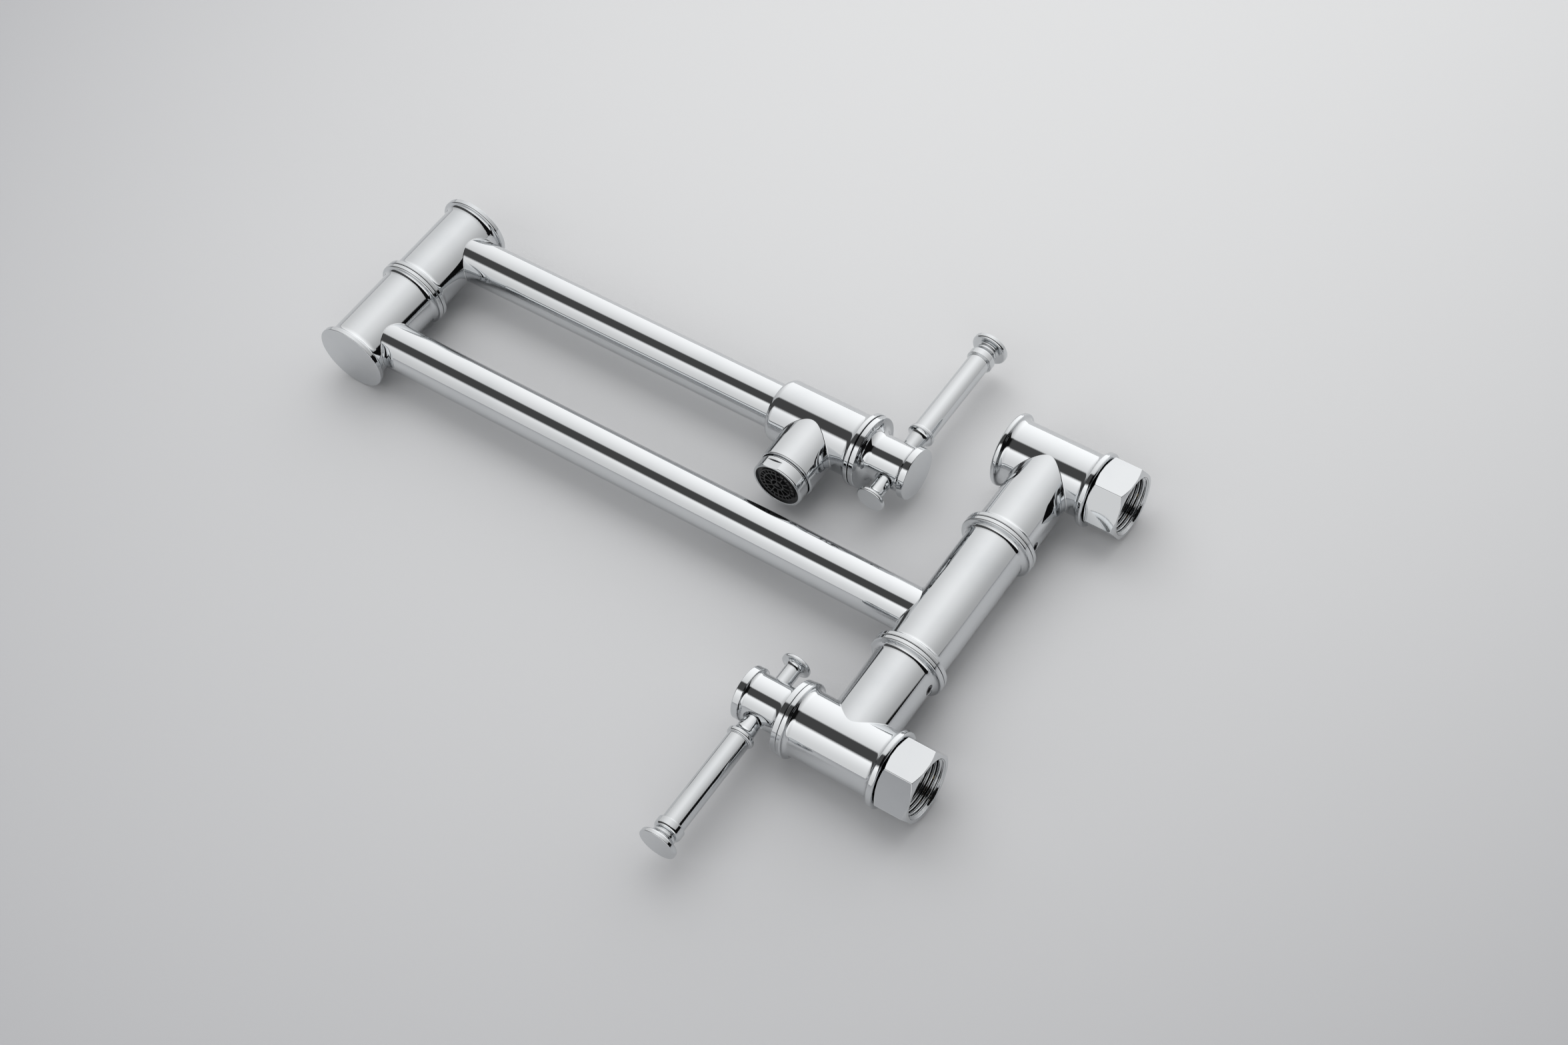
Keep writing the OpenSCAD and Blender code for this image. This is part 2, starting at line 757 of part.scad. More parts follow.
// Spout
module spout_outline() {
    back = valve_front + spout_back;
    translate([0, -back + shoulder_round])
        square([spout_d / 2, back - shoulder_round - ring_h]);
    translate([0, -back]) square([spout_d / 2 - shoulder_round, shoulder_round]);
    intersection() {
        translate([spout_d / 2 - shoulder_round, -back + shoulder_round]) circle(shoulder_round);
        translate([0, -back]) square([spout_d / 2, shoulder_round]);
    }
    ring_end(spout_d, front_ring);
}

module at_branch() {
    translate([0, spout_y, upper_arm_z]) rotate([180, 0, 0]) children();
}

module spout_body() color("silver") {
    difference() {
        union() {
            at_spout_valve() rotate_extrude() spout_outline();
            at_branch() rotate_extrude() band(branch_d / 2, branch_len, ring_edge, ring_edge);
        }
        at_spout_valve() {
            valve_chamber(spout_back - arm_socket + over);
            translate([0, 0, -valve_front - spout_back - over])
                cylinder(d = arm_d + 2 * fit_gap, h = arm_socket + over);
        }
        at_branch() {
            cylinder(d = port_out_d, h = branch_len);
            translate([0, 0, branch_len - aerator_thread_h])
                cylinder(d = aerator_thread_d, h = aerator_thread_h + over);
        }
    }
}

// Aerator, measured down the branch from the arm's axis
gasket_top = branch_len - aerator_thread_h;
screen_top = gasket_top + aerator_gasket_h;
insert_top = screen_top + screen_h;
insert_face = branch_len + aerator_h - insert_sink;

module aerator_ring() color("silver") at_branch() difference() {
    union() {
        translate([0, 0, screen_top])
            cylinder(d = aerator_thread_d - 2 * fit_gap, h = aerator_thread_h);
        translate([0, 0, branch_len + fit_gap])
            rotate_extrude() band(aerator_d / 2, aerator_h - fit_gap, ring_edge, ring_edge);
    }
    translate([0, 0, gasket_top])
        cylinder(d = insert_d + 2 * fit_gap, h = aerator_thread_h + aerator_h + over);
    for (side = [-1, 1]) rotate(wrench_turn)
        translate([side * (aerator_d / 2 - wrench_flat), 0, branch_len + aerator_h])
            translate([side * over, 0, 0])
                cube([2 * over, aerator_d, 2 * wrench_h], center = true);
}

// A row of flat radial ribs between two diameters
module spokes(count, in_d, out_d) {
    for (i = [0 : count - 1]) rotate(i * 360 / count)
        translate([in_d / 2, -grid_rib / 2]) square([(out_d - in_d) / 2, grid_rib]);
}

module grid_ring(d) {
    difference() {
        circle(d = d + grid_wall);
        circle(d = d - grid_wall);
    }
}

// Insert whose ribbed middle stands in front of its plain rim
module aerator_insert() color("black") at_branch() {
    insert_h = insert_face - insert_top;
    out_d = insert_d * row_out_share;
    mid_d = insert_d * row_mid_share;
    in_d = insert_d * row_in_share;
    translate([0, 0, insert_top]) {
        tube(insert_d, out_d, insert_h - rim_sink);
        translate([0, 0, insert_h - grid_depth]) linear_extrude(grid_depth) union() {
            grid_ring(out_d);
            grid_ring(mid_d);
            grid_ring(in_d);
            spokes(rib_count, mid_d, out_d);
            spokes(rib_count / 2, in_d, mid_d);
            spokes(hub_ribs, hub_core_d / 2, in_d);
            circle(d = hub_core_d);
        }
    }
}

module aerator_screen() color("gainsboro") at_branch() {
    translate([0, 0, screen_top]) difference() {
        cylinder(d = insert_d, h = screen_h);
        for (row = [1 : screen_rows], i = [1 : 6 * row])
            rotate(i * 60 / row) translate([row * screen_pitch, 0, -over])
                cylinder(d = screen_hole_d, h = screen_h + 2 * over);
    }
}

module aerator_gasket() color("dimgray") at_branch() {
    translate([0, 0, gasket_top])
        tube(aerator_thread_d - 2 * fit_gap, gasket_bore_d, aerator_gasket_h);
}

// Valve cartridge, along z with its seam at z = 0
module cartridge_body() {
    difference() {
        union() {
            translate([0, 0, disc_at]) cylinder(d = barrel_d, h = -disc_at);
            translate([0, 0, -head_h - barrel_seal_land])
                cylinder(d = chamber_d - 2 * fit_gap, h = barrel_seal_land + over);
            translate([0, 0, -head_h]) cylinder(d = head_d - 2 * fit_gap, h = head_h);
            hexagon(key_af, key_h);
            cylinder(d = neck_bush_d, h = neck_top);
        }
        translate([0, 0, disc_at - over])
            cylinder(d = barrel_d - 2 * barrel_wall, h = window_end - disc_at + over);
        translate([0, 0, disc_at]) cylinder(d = stem_d + 2 * run_gap, h = neck_top - disc_at + over);
        translate([-window_w / 2, -barrel_d / 2 - over, bar_at])
            cube([window_w, barrel_d + 2 * over, window_end - bar_at]);
        translate([0, 0, -head_h - barrel_seal_land / 2])
            groove(chamber_d, barrel_seal_floor_d, barrel_seal_h);
    }
}

module cartridge_seal() {
    translate([0, 0, -head_h - barrel_seal_land / 2]) seal(barrel_seal_floor_d, chamber_d);
}

module seat_gasket() {
    translate([0, 0, seat_at]) tube(gasket_d, gasket_hole_d, gasket_h);
}

// Two quarter sectors of a disc, opposite each other
module quarters(out_d, in_d) {
    intersection() {
        difference() {
            circle(d = out_d);
            circle(d = in_d);
        }
        union() {
            square(out_d);
            rotate(180) square(out_d);
        }
    }
}

module fixed_disc() {
    disc_d = barrel_d - 2 * barrel_wall - 2 * fit_gap;
    translate([0, 0, disc_at]) linear_extrude(fixed_h) difference() {
        circle(d = disc_d);
        rotate(45) quarters(disc_port_out_d, disc_port_in_d);
    }
}

module moving_disc() {
    disc_d = barrel_d - 2 * barrel_wall - 2 * run_gap;
    translate([0, 0, moving_at]) difference() {
        linear_extrude(moving_h) difference() {
            circle(d = disc_d);
            rotate(-45) quarters(disc_port_out_d, disc_port_in_d);
        }
        translate([-disc_d, -tongue_w / 2 - fit_gap, moving_h - tongue_h - fit_gap])
            cube([2 * disc_d, tongue_w + 2 * fit_gap, tongue_h + over]);
    }
}

module valve_stem() {
    bar_d = barrel_d - 2 * barrel_wall - 2 * run_gap;
    difference() {
        union() {
            translate([0, 0, bar_at]) intersection() {
                cylinder(d = bar_d, h = bar_h);
                translate([-bar_d / 2, -bar_w / 2, 0]) cube([bar_d, bar_w, bar_h]);
            }
            translate([0, 0, bar_at - tongue_h]) intersection() {
                cylinder(d = bar_d, h = tongue_h + over);
                translate([-bar_d / 2, -tongue_w / 2, 0]) cube([bar_d, tongue_w, tongue_h + over]);
            }
            translate([0, 0, bar_at]) cylinder(d = stem_d, h = drive_start - bar_at);
            translate([0, 0, drive_start - over]) intersection() {
                cylinder(d = stem_d, h = drive_end - drive_start + over);
                translate([-stem_d / 2, -drive_af / 2, 0])
                    cube([stem_d, drive_af, drive_end - drive_start + over]);
            }
        }
        translate([0, 0, stem_seal_at]) groove(stem_d, stem_seal_floor_d, stem_seal_h);
        translate([0, 0, neck_top + clip_h / 2]) groove(stem_d, clip_floor_d, clip_h + 2 * fit_gap);
        translate([0, 0, screw_start - over]) cylinder(d = screw_d + 2 * fit_gap, h = drive_end);
    }
}

module stem_o_ring() {
    translate([0, 0, stem_seal_at]) seal(stem_seal_floor_d, stem_d + 2 * run_gap);
}

module stem_clip() {
    translate([0, 0, neck_top]) difference() {
        tube(clip_d, clip_floor_d + 2 * fit_gap, clip_h);
        translate([0, -clip_slot / 2, -over]) cube([clip_d, clip_slot, clip_h + 2 * over]);
    }
}

module lower_cartridge_body() color("goldenrod") at_lower_valve() cartridge_body();
module lower_cartridge_seal() color("dimgray") at_lower_valve() cartridge_seal();
module lower_seat_gasket() color("dimgray") at_lower_valve() seat_gasket();
module lower_fixed_disc() color("ivory") at_lower_valve() fixed_disc();
module lower_moving_disc() color("ivory") at_lower_valve() moving_disc();
module lower_stem() color("goldenrod") at_lower_valve() valve_stem();
module lower_stem_o_ring() color("dimgray") at_lower_valve() stem_o_ring();
module lower_stem_clip() color("gray") at_lower_valve() stem_clip();
module spout_cartridge_body() color("goldenrod") at_spout_valve() cartridge_body();
module spout_cartridge_seal() color("dimgray") at_spout_valve() cartridge_seal();
module spout_seat_gasket() color("dimgray") at_spout_valve() seat_gasket();
module spout_fixed_disc() color("ivory") at_spout_valve() fixed_disc();
module spout_moving_disc() color("ivory") at_spout_valve() moving_disc();
module spout_stem() color("goldenrod") at_spout_valve() valve_stem();
module spout_stem_o_ring() color("dimgray") at_spout_valve() stem_o_ring();
module spout_stem_clip() color("gray") at_spout_valve() stem_clip();

// Handle, along z with its seam at z = 0, the lever towards -y and the knob towards +y
module hub_outline() {
    translate([0, seam_gap])
        band(flange_d / 2, flange_h - seam_gap, small_edge, small_edge);
    translate([0, flange_h]) difference() {
        square([hub_d / 2 + hub_flare, hub_flare]);
        translate([hub_d / 2 + hub_flare, hub_flare]) circle(hub_flare);
    }
    translate([0, flange_h]) square([hub_d / 2, hub_waist - flange_h]);
    translate([0, hub_waist]) cove(hub_d / 2, hub_end_d / 2, hub_end_flare);
}

// Threaded hole with a wider recess at the surface, along z from the hub's axis
module stud_hole() {
    translate([0, 0, stud_end]) cylinder(d = stud_d + 2 * fit_gap, h = hub_d);
    translate([0, 0, socket_floor]) cylinder(d = socket_recess_d, h = hub_d);
}

module handle_hub() {
    difference() {
        rotate_extrude() hub_outline();
        translate([0, 0, -over]) cylinder(d = skirt_d, h = skirt_h + over);
        intersection() {
            cylinder(d = stem_d + 2 * fit_gap, h = web_start);
            translate([-stem_d, -drive_af / 2 - fit_gap, 0])
                cube([2 * stem_d, drive_af + 2 * fit_gap, web_start]);
        }
        cylinder(d = screw_d + 4 * fit_gap, h = hub_end);
        translate([0, 0, web_end]) cylinder(d = screw_bore_d, h = hub_end);
        translate([0, 0, lever_station]) for (turn = [-90, 90]) rotate([turn, 0, 0]) stud_hole();
    }
}

module handle_screw() {
    difference() {
        union() {
            translate([0, 0, screw_start]) cylinder(d = screw_d, h = web_end - screw_start);
            translate([0, 0, web_end]) cylinder(d = screw_head_d, h = screw_head_h);
        }
        translate([0, 0, web_end + screw_head_h - screw_socket_h])
            hexagon(screw_socket_af, screw_socket_h + over);
    }
}

module hub_cap() {
    translate([0, 0, hub_end])
        rotate_extrude() band(cap_d / 2, cap_h, small_edge, small_edge);
    translate([0, 0, hub_end - cap_spigot_h])
        cylinder(d = screw_bore_d - 2 * fit_gap, h = cap_spigot_h + over);
}

// Outline of a lever from its stud outwards, with y measured from the hub's axis
module lever_outline() {
    collar_at = neck_end + collar_flare;
    grip_at = collar_at + collar_len;
    ferrule_at = grip_at + grip_len;
    groove_at = ferrule_at + ferrule_len;
    pearl_at = groove_at + groove_len;
    trumpet_at = pearl_at + pearl_len + groove_len;
    rim_at = trumpet_at + trumpet_len;
    polygon([
        [0, stud_end], [stud_d / 2, stud_end], [stud_d / 2, socket_floor],
        [neck_d / 2, socket_floor], [neck_top_d / 2, neck_end], [0, neck_end]
    ]);
    translate([0, neck_end]) cove(neck_top_d / 2, collar_d / 2 - small_edge, collar_flare);
    translate([0, collar_at])
        band(collar_d / 2, collar_len, small_edge, collar_len * collar_round_share);
    translate([0, grip_at]) square([grip_d / 2, grip_len]);
    translate([0, grip_at + grip_cove]) mirror([0, 1])
        cove(grip_d / 2, grip_d / 2 + grip_cove, grip_cove);
    translate([0, ferrule_at - grip_cove]) cove(grip_d / 2, grip_d / 2 + grip_cove, grip_cove);
    translate([0, ferrule_at])
        band(ferrule_d / 2, ferrule_len, small_edge, ferrule_len * ferrule_round_share);
    translate([0, groove_at]) square([groove_d / 2, trumpet_at - groove_at]);
    translate([0, pearl_at]) band(pearl_d / 2, pearl_len, small_edge, small_edge);
    translate([0, trumpet_at]) cove(groove_d / 2, groove_d / 2 + trumpet_len, trumpet_len);
    translate([0, rim_at]) band(rim_d / 2, rim_h, rim_h * rim_round_share, small_edge);
}

module lever() {
    translate([0, 0, lever_station]) rotate([90, 0, 0]) rotate_extrude() lever_outline();
}

module knob_outline() {
    rim_at = knob_stem_end + knob_trumpet_len;
    polygon([
        [0, stud_end], [stud_d / 2, stud_end], [stud_d / 2, socket_floor],
        [knob_stem_d / 2, socket_floor], [knob_stem_d / 2, knob_stem_end], [0, knob_stem_end]
    ]);
    translate([0, knob_stem_end])
        cove(knob_stem_d / 2, knob_rim_d / 2 - small_edge, knob_trumpet_len);
    translate([0, rim_at])
        band(knob_rim_d / 2, knob_rim_h, small_edge, knob_rim_h * rim_round_share);
}

module knob() {
    translate([0, 0, lever_station]) along_y() rotate_extrude() knob_outline();
}

module lower_handle_hub() color("silver") at_lower_valve() handle_hub();
module lower_handle_screw() color("gray") at_lower_valve() handle_screw();
module lower_hub_cap() color("silver") at_lower_valve() hub_cap();
module lower_lever() color("silver") at_lower_valve() lever();
module lower_knob() color("silver") at_lower_valve() knob();
module spout_handle_hub() color("silver") at_spout_valve() handle_hub();
module spout_handle_screw() color("gray") at_spout_valve() handle_screw();
module spout_hub_cap() color("silver") at_spout_valve() hub_cap();
module spout_lever() color("silver") at_spout_valve() lever();
module spout_knob() color("silver") at_spout_valve() knob();

lower_tee();
upper_tee();
lower_inlet_tail();
upper_inlet_tail();
lower_inlet_washer();
upper_inlet_washer();
lower_union_nut();
upper_union_nut();
swivel_core();
core_o_rings();
core_set_screws();
swivel_sleeve();
swivel_washers();
lower_arm_tube();
elbow_lower_body();
elbow_spigot();
elbow_o_rings();
elbow_washer();
elbow_set_screw();
elbow_upper_body();
upper_arm_tube();
spout_body();
aerator_gasket();
aerator_screen();
aerator_insert();
aerator_ring();
lower_cartridge_body();
lower_cartridge_seal();
lower_seat_gasket();
lower_fixed_disc();
lower_moving_disc();
lower_stem();
lower_stem_o_ring();
lower_stem_clip();
lower_handle_hub();
lower_handle_screw();
lower_hub_cap();
lower_lever();
lower_knob();
spout_cartridge_body();
spout_cartridge_seal();
spout_seat_gasket();
spout_fixed_disc();
spout_moving_disc();
spout_stem();
spout_stem_o_ring();
spout_stem_clip();
spout_handle_hub();
spout_handle_screw();
spout_hub_cap();
spout_lever();
spout_knob();
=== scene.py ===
import json
from math import acos, asin, atan2, ceil, cos, degrees, hypot, pi, radians, sin, sqrt, tan

import bpy
from mathutils import Matrix, Vector


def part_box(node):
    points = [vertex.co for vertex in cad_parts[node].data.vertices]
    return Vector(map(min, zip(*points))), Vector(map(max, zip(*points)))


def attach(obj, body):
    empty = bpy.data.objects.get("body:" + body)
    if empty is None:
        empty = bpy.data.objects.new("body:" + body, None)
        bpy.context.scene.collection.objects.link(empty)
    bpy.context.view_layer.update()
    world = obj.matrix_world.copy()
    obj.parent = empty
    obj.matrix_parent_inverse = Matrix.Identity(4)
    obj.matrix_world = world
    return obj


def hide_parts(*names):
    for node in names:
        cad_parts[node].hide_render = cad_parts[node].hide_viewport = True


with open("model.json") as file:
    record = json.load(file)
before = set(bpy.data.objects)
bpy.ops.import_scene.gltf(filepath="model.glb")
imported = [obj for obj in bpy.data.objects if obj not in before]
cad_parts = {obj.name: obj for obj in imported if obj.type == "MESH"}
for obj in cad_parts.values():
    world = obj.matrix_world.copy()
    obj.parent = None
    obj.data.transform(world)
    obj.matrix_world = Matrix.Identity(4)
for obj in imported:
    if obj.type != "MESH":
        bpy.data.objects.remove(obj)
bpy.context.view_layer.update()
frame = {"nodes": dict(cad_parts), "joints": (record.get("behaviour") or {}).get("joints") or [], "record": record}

mm = 0.001
jointAt = {joint["name"]: Vector(joint["pos_m"]) / mm for joint in frame["joints"]}


def span(node, axis):
    # lowest and highest millimetre of a node along one axis
    low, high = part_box(node)
    return low[axis] / mm, high[axis] / mm


def middle(node, axis):
    return sum(span(node, axis)) / 2


def addThing(name, data):
    thing = bpy.data.objects.new(name, data)
    bpy.context.scene.collection.objects.link(thing)
    return thing


# where the main axes lie, in millimetres, read from the frame
columnY = jointAt["column_swivel"].y
elbowY = jointAt["elbow_swivel"].y
upperInletZ = jointAt["upper_nut_turn"].z
lowerArmZ = middle("lower_arm_tube", 2)
upperArmZ = middle("upper_arm_tube", 2)
spoutY = middle("aerator_ring", 1)
lowerSeamY = jointAt["lower_valve"].y
spoutSeamY = jointAt["spout_valve"].y
toX, toY, toZ = Vector((1, 0, 0)), Vector((0, 1, 0)), Vector((0, 0, 1))

meshing = {
    "weldGap": 0.0001,      # corners closer than this are one point
    "columns": 144,         # faces round a turned body
    "fineColumns": 96,      # faces round a slim turned piece
    "arcStep": 9,           # degrees between the points of a rounding
    "wallStep": 6,          # length of the faces along a plain wall
    "ringLayers": 5,        # faces between a window's frame and its hole
    "filletSteps": 5,
    "leastTurn": 0.001,     # radians under which a fillet's rays are one
    "wallLayers": 4,
}


# Shader nodes

def plug(tree, inlet, value):
    if isinstance(value, Wire):
        tree.links.new(value.socket, inlet)
    else:
        inlet.default_value = value


class Wire:
    # a socket that takes part in sums, so that shader maths reads as plain Python
    def __init__(self, tree, socket):
        self.tree = tree
        self.socket = socket

    def math(self, operation, other, swapped=False):
        node = self.tree.nodes.new("ShaderNodeMath")
        node.operation = operation
        pair = (other, self) if swapped else (self, other)
        for inlet, value in zip(node.inputs, pair):
            plug(self.tree, inlet, value)
        return Wire(self.tree, node.outputs[0])

    def __add__(self, other):
        return self.math("ADD", other)

    def __sub__(self, other):
        return self.math("SUBTRACT", other)

    def __rsub__(self, other):
        return self.math("SUBTRACT", other, swapped=True)

    def __mul__(self, other):
        return self.math("MULTIPLY", other)

    __radd__ = __add__
    __rmul__ = __mul__


class Finish:
    # the nodes of one material or of the world
    def __init__(self, owner):
        self.owner = owner
        owner.use_nodes = True
        self.tree = owner.node_tree
        self.tree.nodes.clear()

    def add(self, kind, settings=None, inputs=None, out=0):
        node = self.tree.nodes.new(kind)
        for name, value in (settings or {}).items():
            setattr(node, name, value)
        for name, value in (inputs or {}).items():
            plug(self.tree, node.inputs[name], value)
        return Wire(self.tree, node.outputs[out]) if node.outputs else None

    def axes(self, where):
        # the three numbers of a vector
        node = self.add("ShaderNodeSeparateXYZ", inputs={"Vector": where}).socket.node
        return [Wire(self.tree, node.outputs[letter]) for letter in "XYZ"]

    def coordinates(self, stretch=(1, 1, 1)):
        where = self.add("ShaderNodeTexCoord", out="Object")
        return self.add("ShaderNodeMapping", inputs={"Vector": where, "Scale": stretch})

    def noise(self, where, scale, detail=2, roughness=0.5):
        return self.add("ShaderNodeTexNoise", inputs={
            "Vector": where, "Scale": scale, "Detail": detail, "Roughness": roughness})

    def between(self, value, low, high, start=0.0, end=1.0):
        # a soft step from one value to another
        return self.add("ShaderNodeMapRange", {"interpolation_type": "SMOOTHSTEP"}, {
            "Value": value, "From Min": low, "From Max": high, "To Min": start, "To Max": end})

    def blend(self, factor, first, second):
        # the colour sockets of a Mix node are its seventh and eighth, and its colour comes third
        mixed = {0: factor, 6: first, 7: second}
        return self.add("ShaderNodeMix", {"data_type": "RGBA"}, mixed, out=2)

    def bump(self, height, distance, normal=None):
        inputs = {"Height": height, "Distance": distance, "Strength": 1.0}
        if normal:
            inputs["Normal"] = normal
        return self.add("ShaderNodeBump", inputs=inputs)

    def surface(self, inputs):
        shader = self.add("ShaderNodeBsdfPrincipled", inputs=inputs)
        self.add("ShaderNodeOutputMaterial", inputs={"Surface": shader})
        return self.owner


def newFinish(name):
    return Finish(bpy.data.materials.new(name))


def polishedChrome():
    look = {
        "colour": (0.665, 0.68, 0.692, 1), "hazeColour": (0.63, 0.648, 0.664, 1),
        "polish": 0.02, "haze": 0.05, "hazeScale": 34, "hazeEdge": (0.45, 0.8),
        "waveScale": 46, "waveDepth": 0.000012, "pitScale": 900, "pitDepth": 0.0000006,
    }
    finish = newFinish("polishedChrome")
    where = finish.coordinates()
    haze = finish.noise(where, look["hazeScale"], detail=5, roughness=0.6)
    patches = finish.between(haze, *look["hazeEdge"])
    wave = finish.noise(where, look["waveScale"], detail=1)
    pits = finish.noise(where, look["pitScale"], detail=2)
    rolled = finish.bump(wave, look["waveDepth"])
    skin = finish.bump(pits, look["pitDepth"], normal=rolled)
    return finish.surface({
        "Base Color": finish.blend(patches, look["colour"], look["hazeColour"]),
        "Metallic": 1.0,
        "Roughness": look["polish"] + look["haze"] * patches,
        "Normal": skin,
    })


def turnedBrass():
    look = {
        "colour": (0.76, 0.55, 0.27, 1), "dull": (0.5, 0.33, 0.15, 1),
        "toolScale": 60, "toolStretch": (1, 26, 26), "toolDepth": 0.00001,
        "stainScale": 70, "stainEdge": (0.5, 0.75), "polish": 0.22, "wear": 0.2, "toolMarks": 0.08,
    }
    finish = newFinish("turnedBrass")
    lines = finish.noise(finish.coordinates(look["toolStretch"]), look["toolScale"], detail=3)
    stains = finish.noise(finish.coordinates(), look["stainScale"], detail=4, roughness=0.65)
    worn = finish.between(stains, *look["stainEdge"])
    return finish.surface({
        "Base Color": finish.blend(worn, look["colour"], look["dull"]),
        "Metallic": 1.0,
        "Roughness": look["polish"] + look["wear"] * worn + look["toolMarks"] * lines,
        "Normal": finish.bump(lines, look["toolDepth"]),
    })


def steelWithPaintedShade():
    # both colours are painted dark, a painted shade for the set screws that sit deep in their holes; the grain
    # blends the two
    look = {
        "colour": (0.24, 0.24, 0.25, 1), "oiledAndPaintedShade": (0.07, 0.07, 0.075, 1),
        "grainScale": 500, "grainDepth": 0.00001, "polish": 0.3, "spread": 0.2,
    }
    finish = newFinish("steelWithPaintedShade")
    grain = finish.noise(finish.coordinates(), look["grainScale"], detail=3)
    return finish.surface({
        "Base Color": finish.blend(grain, look["colour"], look["oiledAndPaintedShade"]),
        "Metallic": 1.0,
        "Roughness": look["polish"] + look["spread"] * grain,
        "Normal": finish.bump(grain, look["grainDepth"]),
    })


def matt(name, look):
    # rubber, ceramic and plastics share one recipe: a mottled colour and a fine grain
    finish = newFinish(name)
    where = finish.coordinates()
    mottle = finish.noise(where, look["mottleScale"], detail=4)
    grain = finish.noise(where, look["grainScale"], detail=2)
    return finish.surface({
        "Base Color": finish.blend(mottle, look["colour"], look["shade"]),
        "Roughness": look["roughness"] + look["spread"] * mottle,
        "Specular IOR Level": look["gloss"],
        "Normal": finish.bump(grain, look["grainDepth"]),
    })


mattLooks = {
    "rubber": {
        "colour": (0.012, 0.012, 0.013, 1), "shade": (0.03, 0.03, 0.032, 1), "mottleScale": 120,
        "grainScale": 1500, "grainDepth": 0.00003, "roughness": 0.6, "spread": 0.2, "gloss": 0.3,
    },
    "ceramic": {
        "colour": (0.8, 0.79, 0.75, 1), "shade": (0.7, 0.69, 0.66, 1), "mottleScale": 300,
        "grainScale": 2500, "grainDepth": 0.000004, "roughness": 0.12, "spread": 0.1, "gloss": 0.5,
    },
    "white_plastic": {
        "colour": (0.82, 0.82, 0.8, 1), "shade": (0.74, 0.74, 0.72, 1), "mottleScale": 90,
        "grainScale": 1200, "grainDepth": 0.00001, "roughness": 0.35, "spread": 0.15, "gloss": 0.5,
    },
    "black_plastic": {
        "colour": (0.011, 0.011, 0.012, 1), "shade": (0.026, 0.026, 0.027, 1), "mottleScale": 260,
        "grainScale": 2200, "grainDepth": 0.00001, "roughness": 0.3, "spread": 0.2, "gloss": 0.5,
    },
}

finishes = {"chrome": polishedChrome(), "inner_brass": turnedBrass(), "steel": steelWithPaintedShade()}
for slotName, look in mattLooks.items():
    finishes[slotName] = matt(slotName, look)
print("finishes made:", ", ".join(sorted(finishes)))


# Turned shapes. An outline is the half section of a piece, as radius and height in millimetres

class Outline:
    # followed with its outside on the right; each strip keeps the true normal at both of its ends
    def __init__(self, r, z):
        self.at = (r, z)
        self.strips = []

    def gather(self, points, wall):
        self.strips += [(low, high, wall, None) for low, high in zip(points, points[1:])]
        self.at = points[-1][:2]
        return self

    def line(self, r, z, wall=""):
        fromR, fromZ = self.at
        length = hypot(r - fromR, z - fromZ)
        if length < meshing["weldGap"]:
            return self
        normal = ((z - fromZ) / length, (fromR - r) / length)
        count = max(1, ceil(length / meshing["wallStep"]))
        points = []
        for i in range(count + 1):
            t = i / count
            points.append((fromR + (r - fromR) * t, fromZ + (z - fromZ) * t, *normal))
        return self.gather(points, wall)

    def path(self, *corners):
        # straight lines from corner to corner
        for r, z in corners:
            self.line(r, z)
        return self

    def arc(self, centreR, centreZ, sweep, wall=""):
        # positive sweeps round outwards, negative ones hollow inwards
        fromR, fromZ = self.at
        radius = hypot(fromR - centreR, fromZ - centreZ)
        start = atan2(fromZ - centreZ, fromR - centreR)
        side = 1 if sweep > 0 else -1
        count = max(3, ceil(abs(sweep) / meshing["arcStep"]))
        points = []
        for i in range(count + 1):
            a = start + radians(sweep) * i / count
            outR, outZ = cos(a), sin(a)
            points.append((centreR + radius * outR, centreZ + radius * outZ,
                           side * outR, side * outZ))
        return self.gather(points, wall)

    def bead(self, r, low, high, edge, highEdge=None):
        # a round-edged band, from its lower corner to its upper one
        highEdge = highEdge or edge
        self.line(r - edge, low)
        self.arc(r - edge, low + edge, 90)
        self.line(r, high - highEdge)
        return self.arc(r - highEdge, high - highEdge, 90)

    def flare(self, r, height, wall=""):
        # a hollow rounding that is upright at its narrow end
        fromR, fromZ = self.at
        rise = abs(r - fromR)
        radius = (rise * rise + height * height) / (2 * rise)
        centreZ = fromZ if r > fromR else fromZ + height
        turn = degrees(asin(min(1, height / radius)))
        return self.arc(min(r, fromR) + radius, centreZ, -turn, wall)

    def sweep(self, r, height, wall=""):
        # a hollow quarter of an ellipse, upright at its narrow end and level at its wide one
        fromR, fromZ = self.at
        across = abs(r - fromR)
        centreZ, start = (fromZ, 180) if r > fromR else (fromZ + height, 270)
        count = ceil(90 / meshing["arcStep"])
        points = []
        for i in range(count + 1):
            a = radians(start - 90 * i / count)
            normalR, normalZ = -cos(a) / across, -sin(a) / height
            size = hypot(normalR, normalZ)
            points.append((max(r, fromR) + across * cos(a), centreZ + height * sin(a),
                           normalR / size, normalZ / size))
        return self.gather(points, wall)


# rings are given as radius, height and height of the flare beside them; caps close a body's end
ringShape = {"edge": 0.8, "rimEdge": 0.3, "seam": (17.1, 2.3, 2.5), "cap": (17.1, 2.6, 2.8)}


def ringAbove(outline, bodyR, ring, top, rim=ringShape["rimEdge"]):
    # hollow flare and round-shouldered ring at the upper end of a body
    ringR, ringH, flareH = ring
    edge, base = ringShape["edge"], top - ringH
    outline.line(bodyR, base - flareH, wall="body")
    outline.sweep(ringR - edge, flareH, wall="body")
    outline.arc(ringR - edge, base + edge, 90)
    outline.line(ringR, top - rim)
    outline.arc(ringR - rim, top - rim, 90)


def ringBelow(outline, bodyR, ring, low, rim=ringShape["rimEdge"]):
    # the same at the lower end
    ringR, ringH, flareH = ring
    edge, base = ringShape["edge"], low + ringH
    outline.bead(ringR, low, base, rim, edge)
    outline.sweep(bodyR, flareH, wall="body")


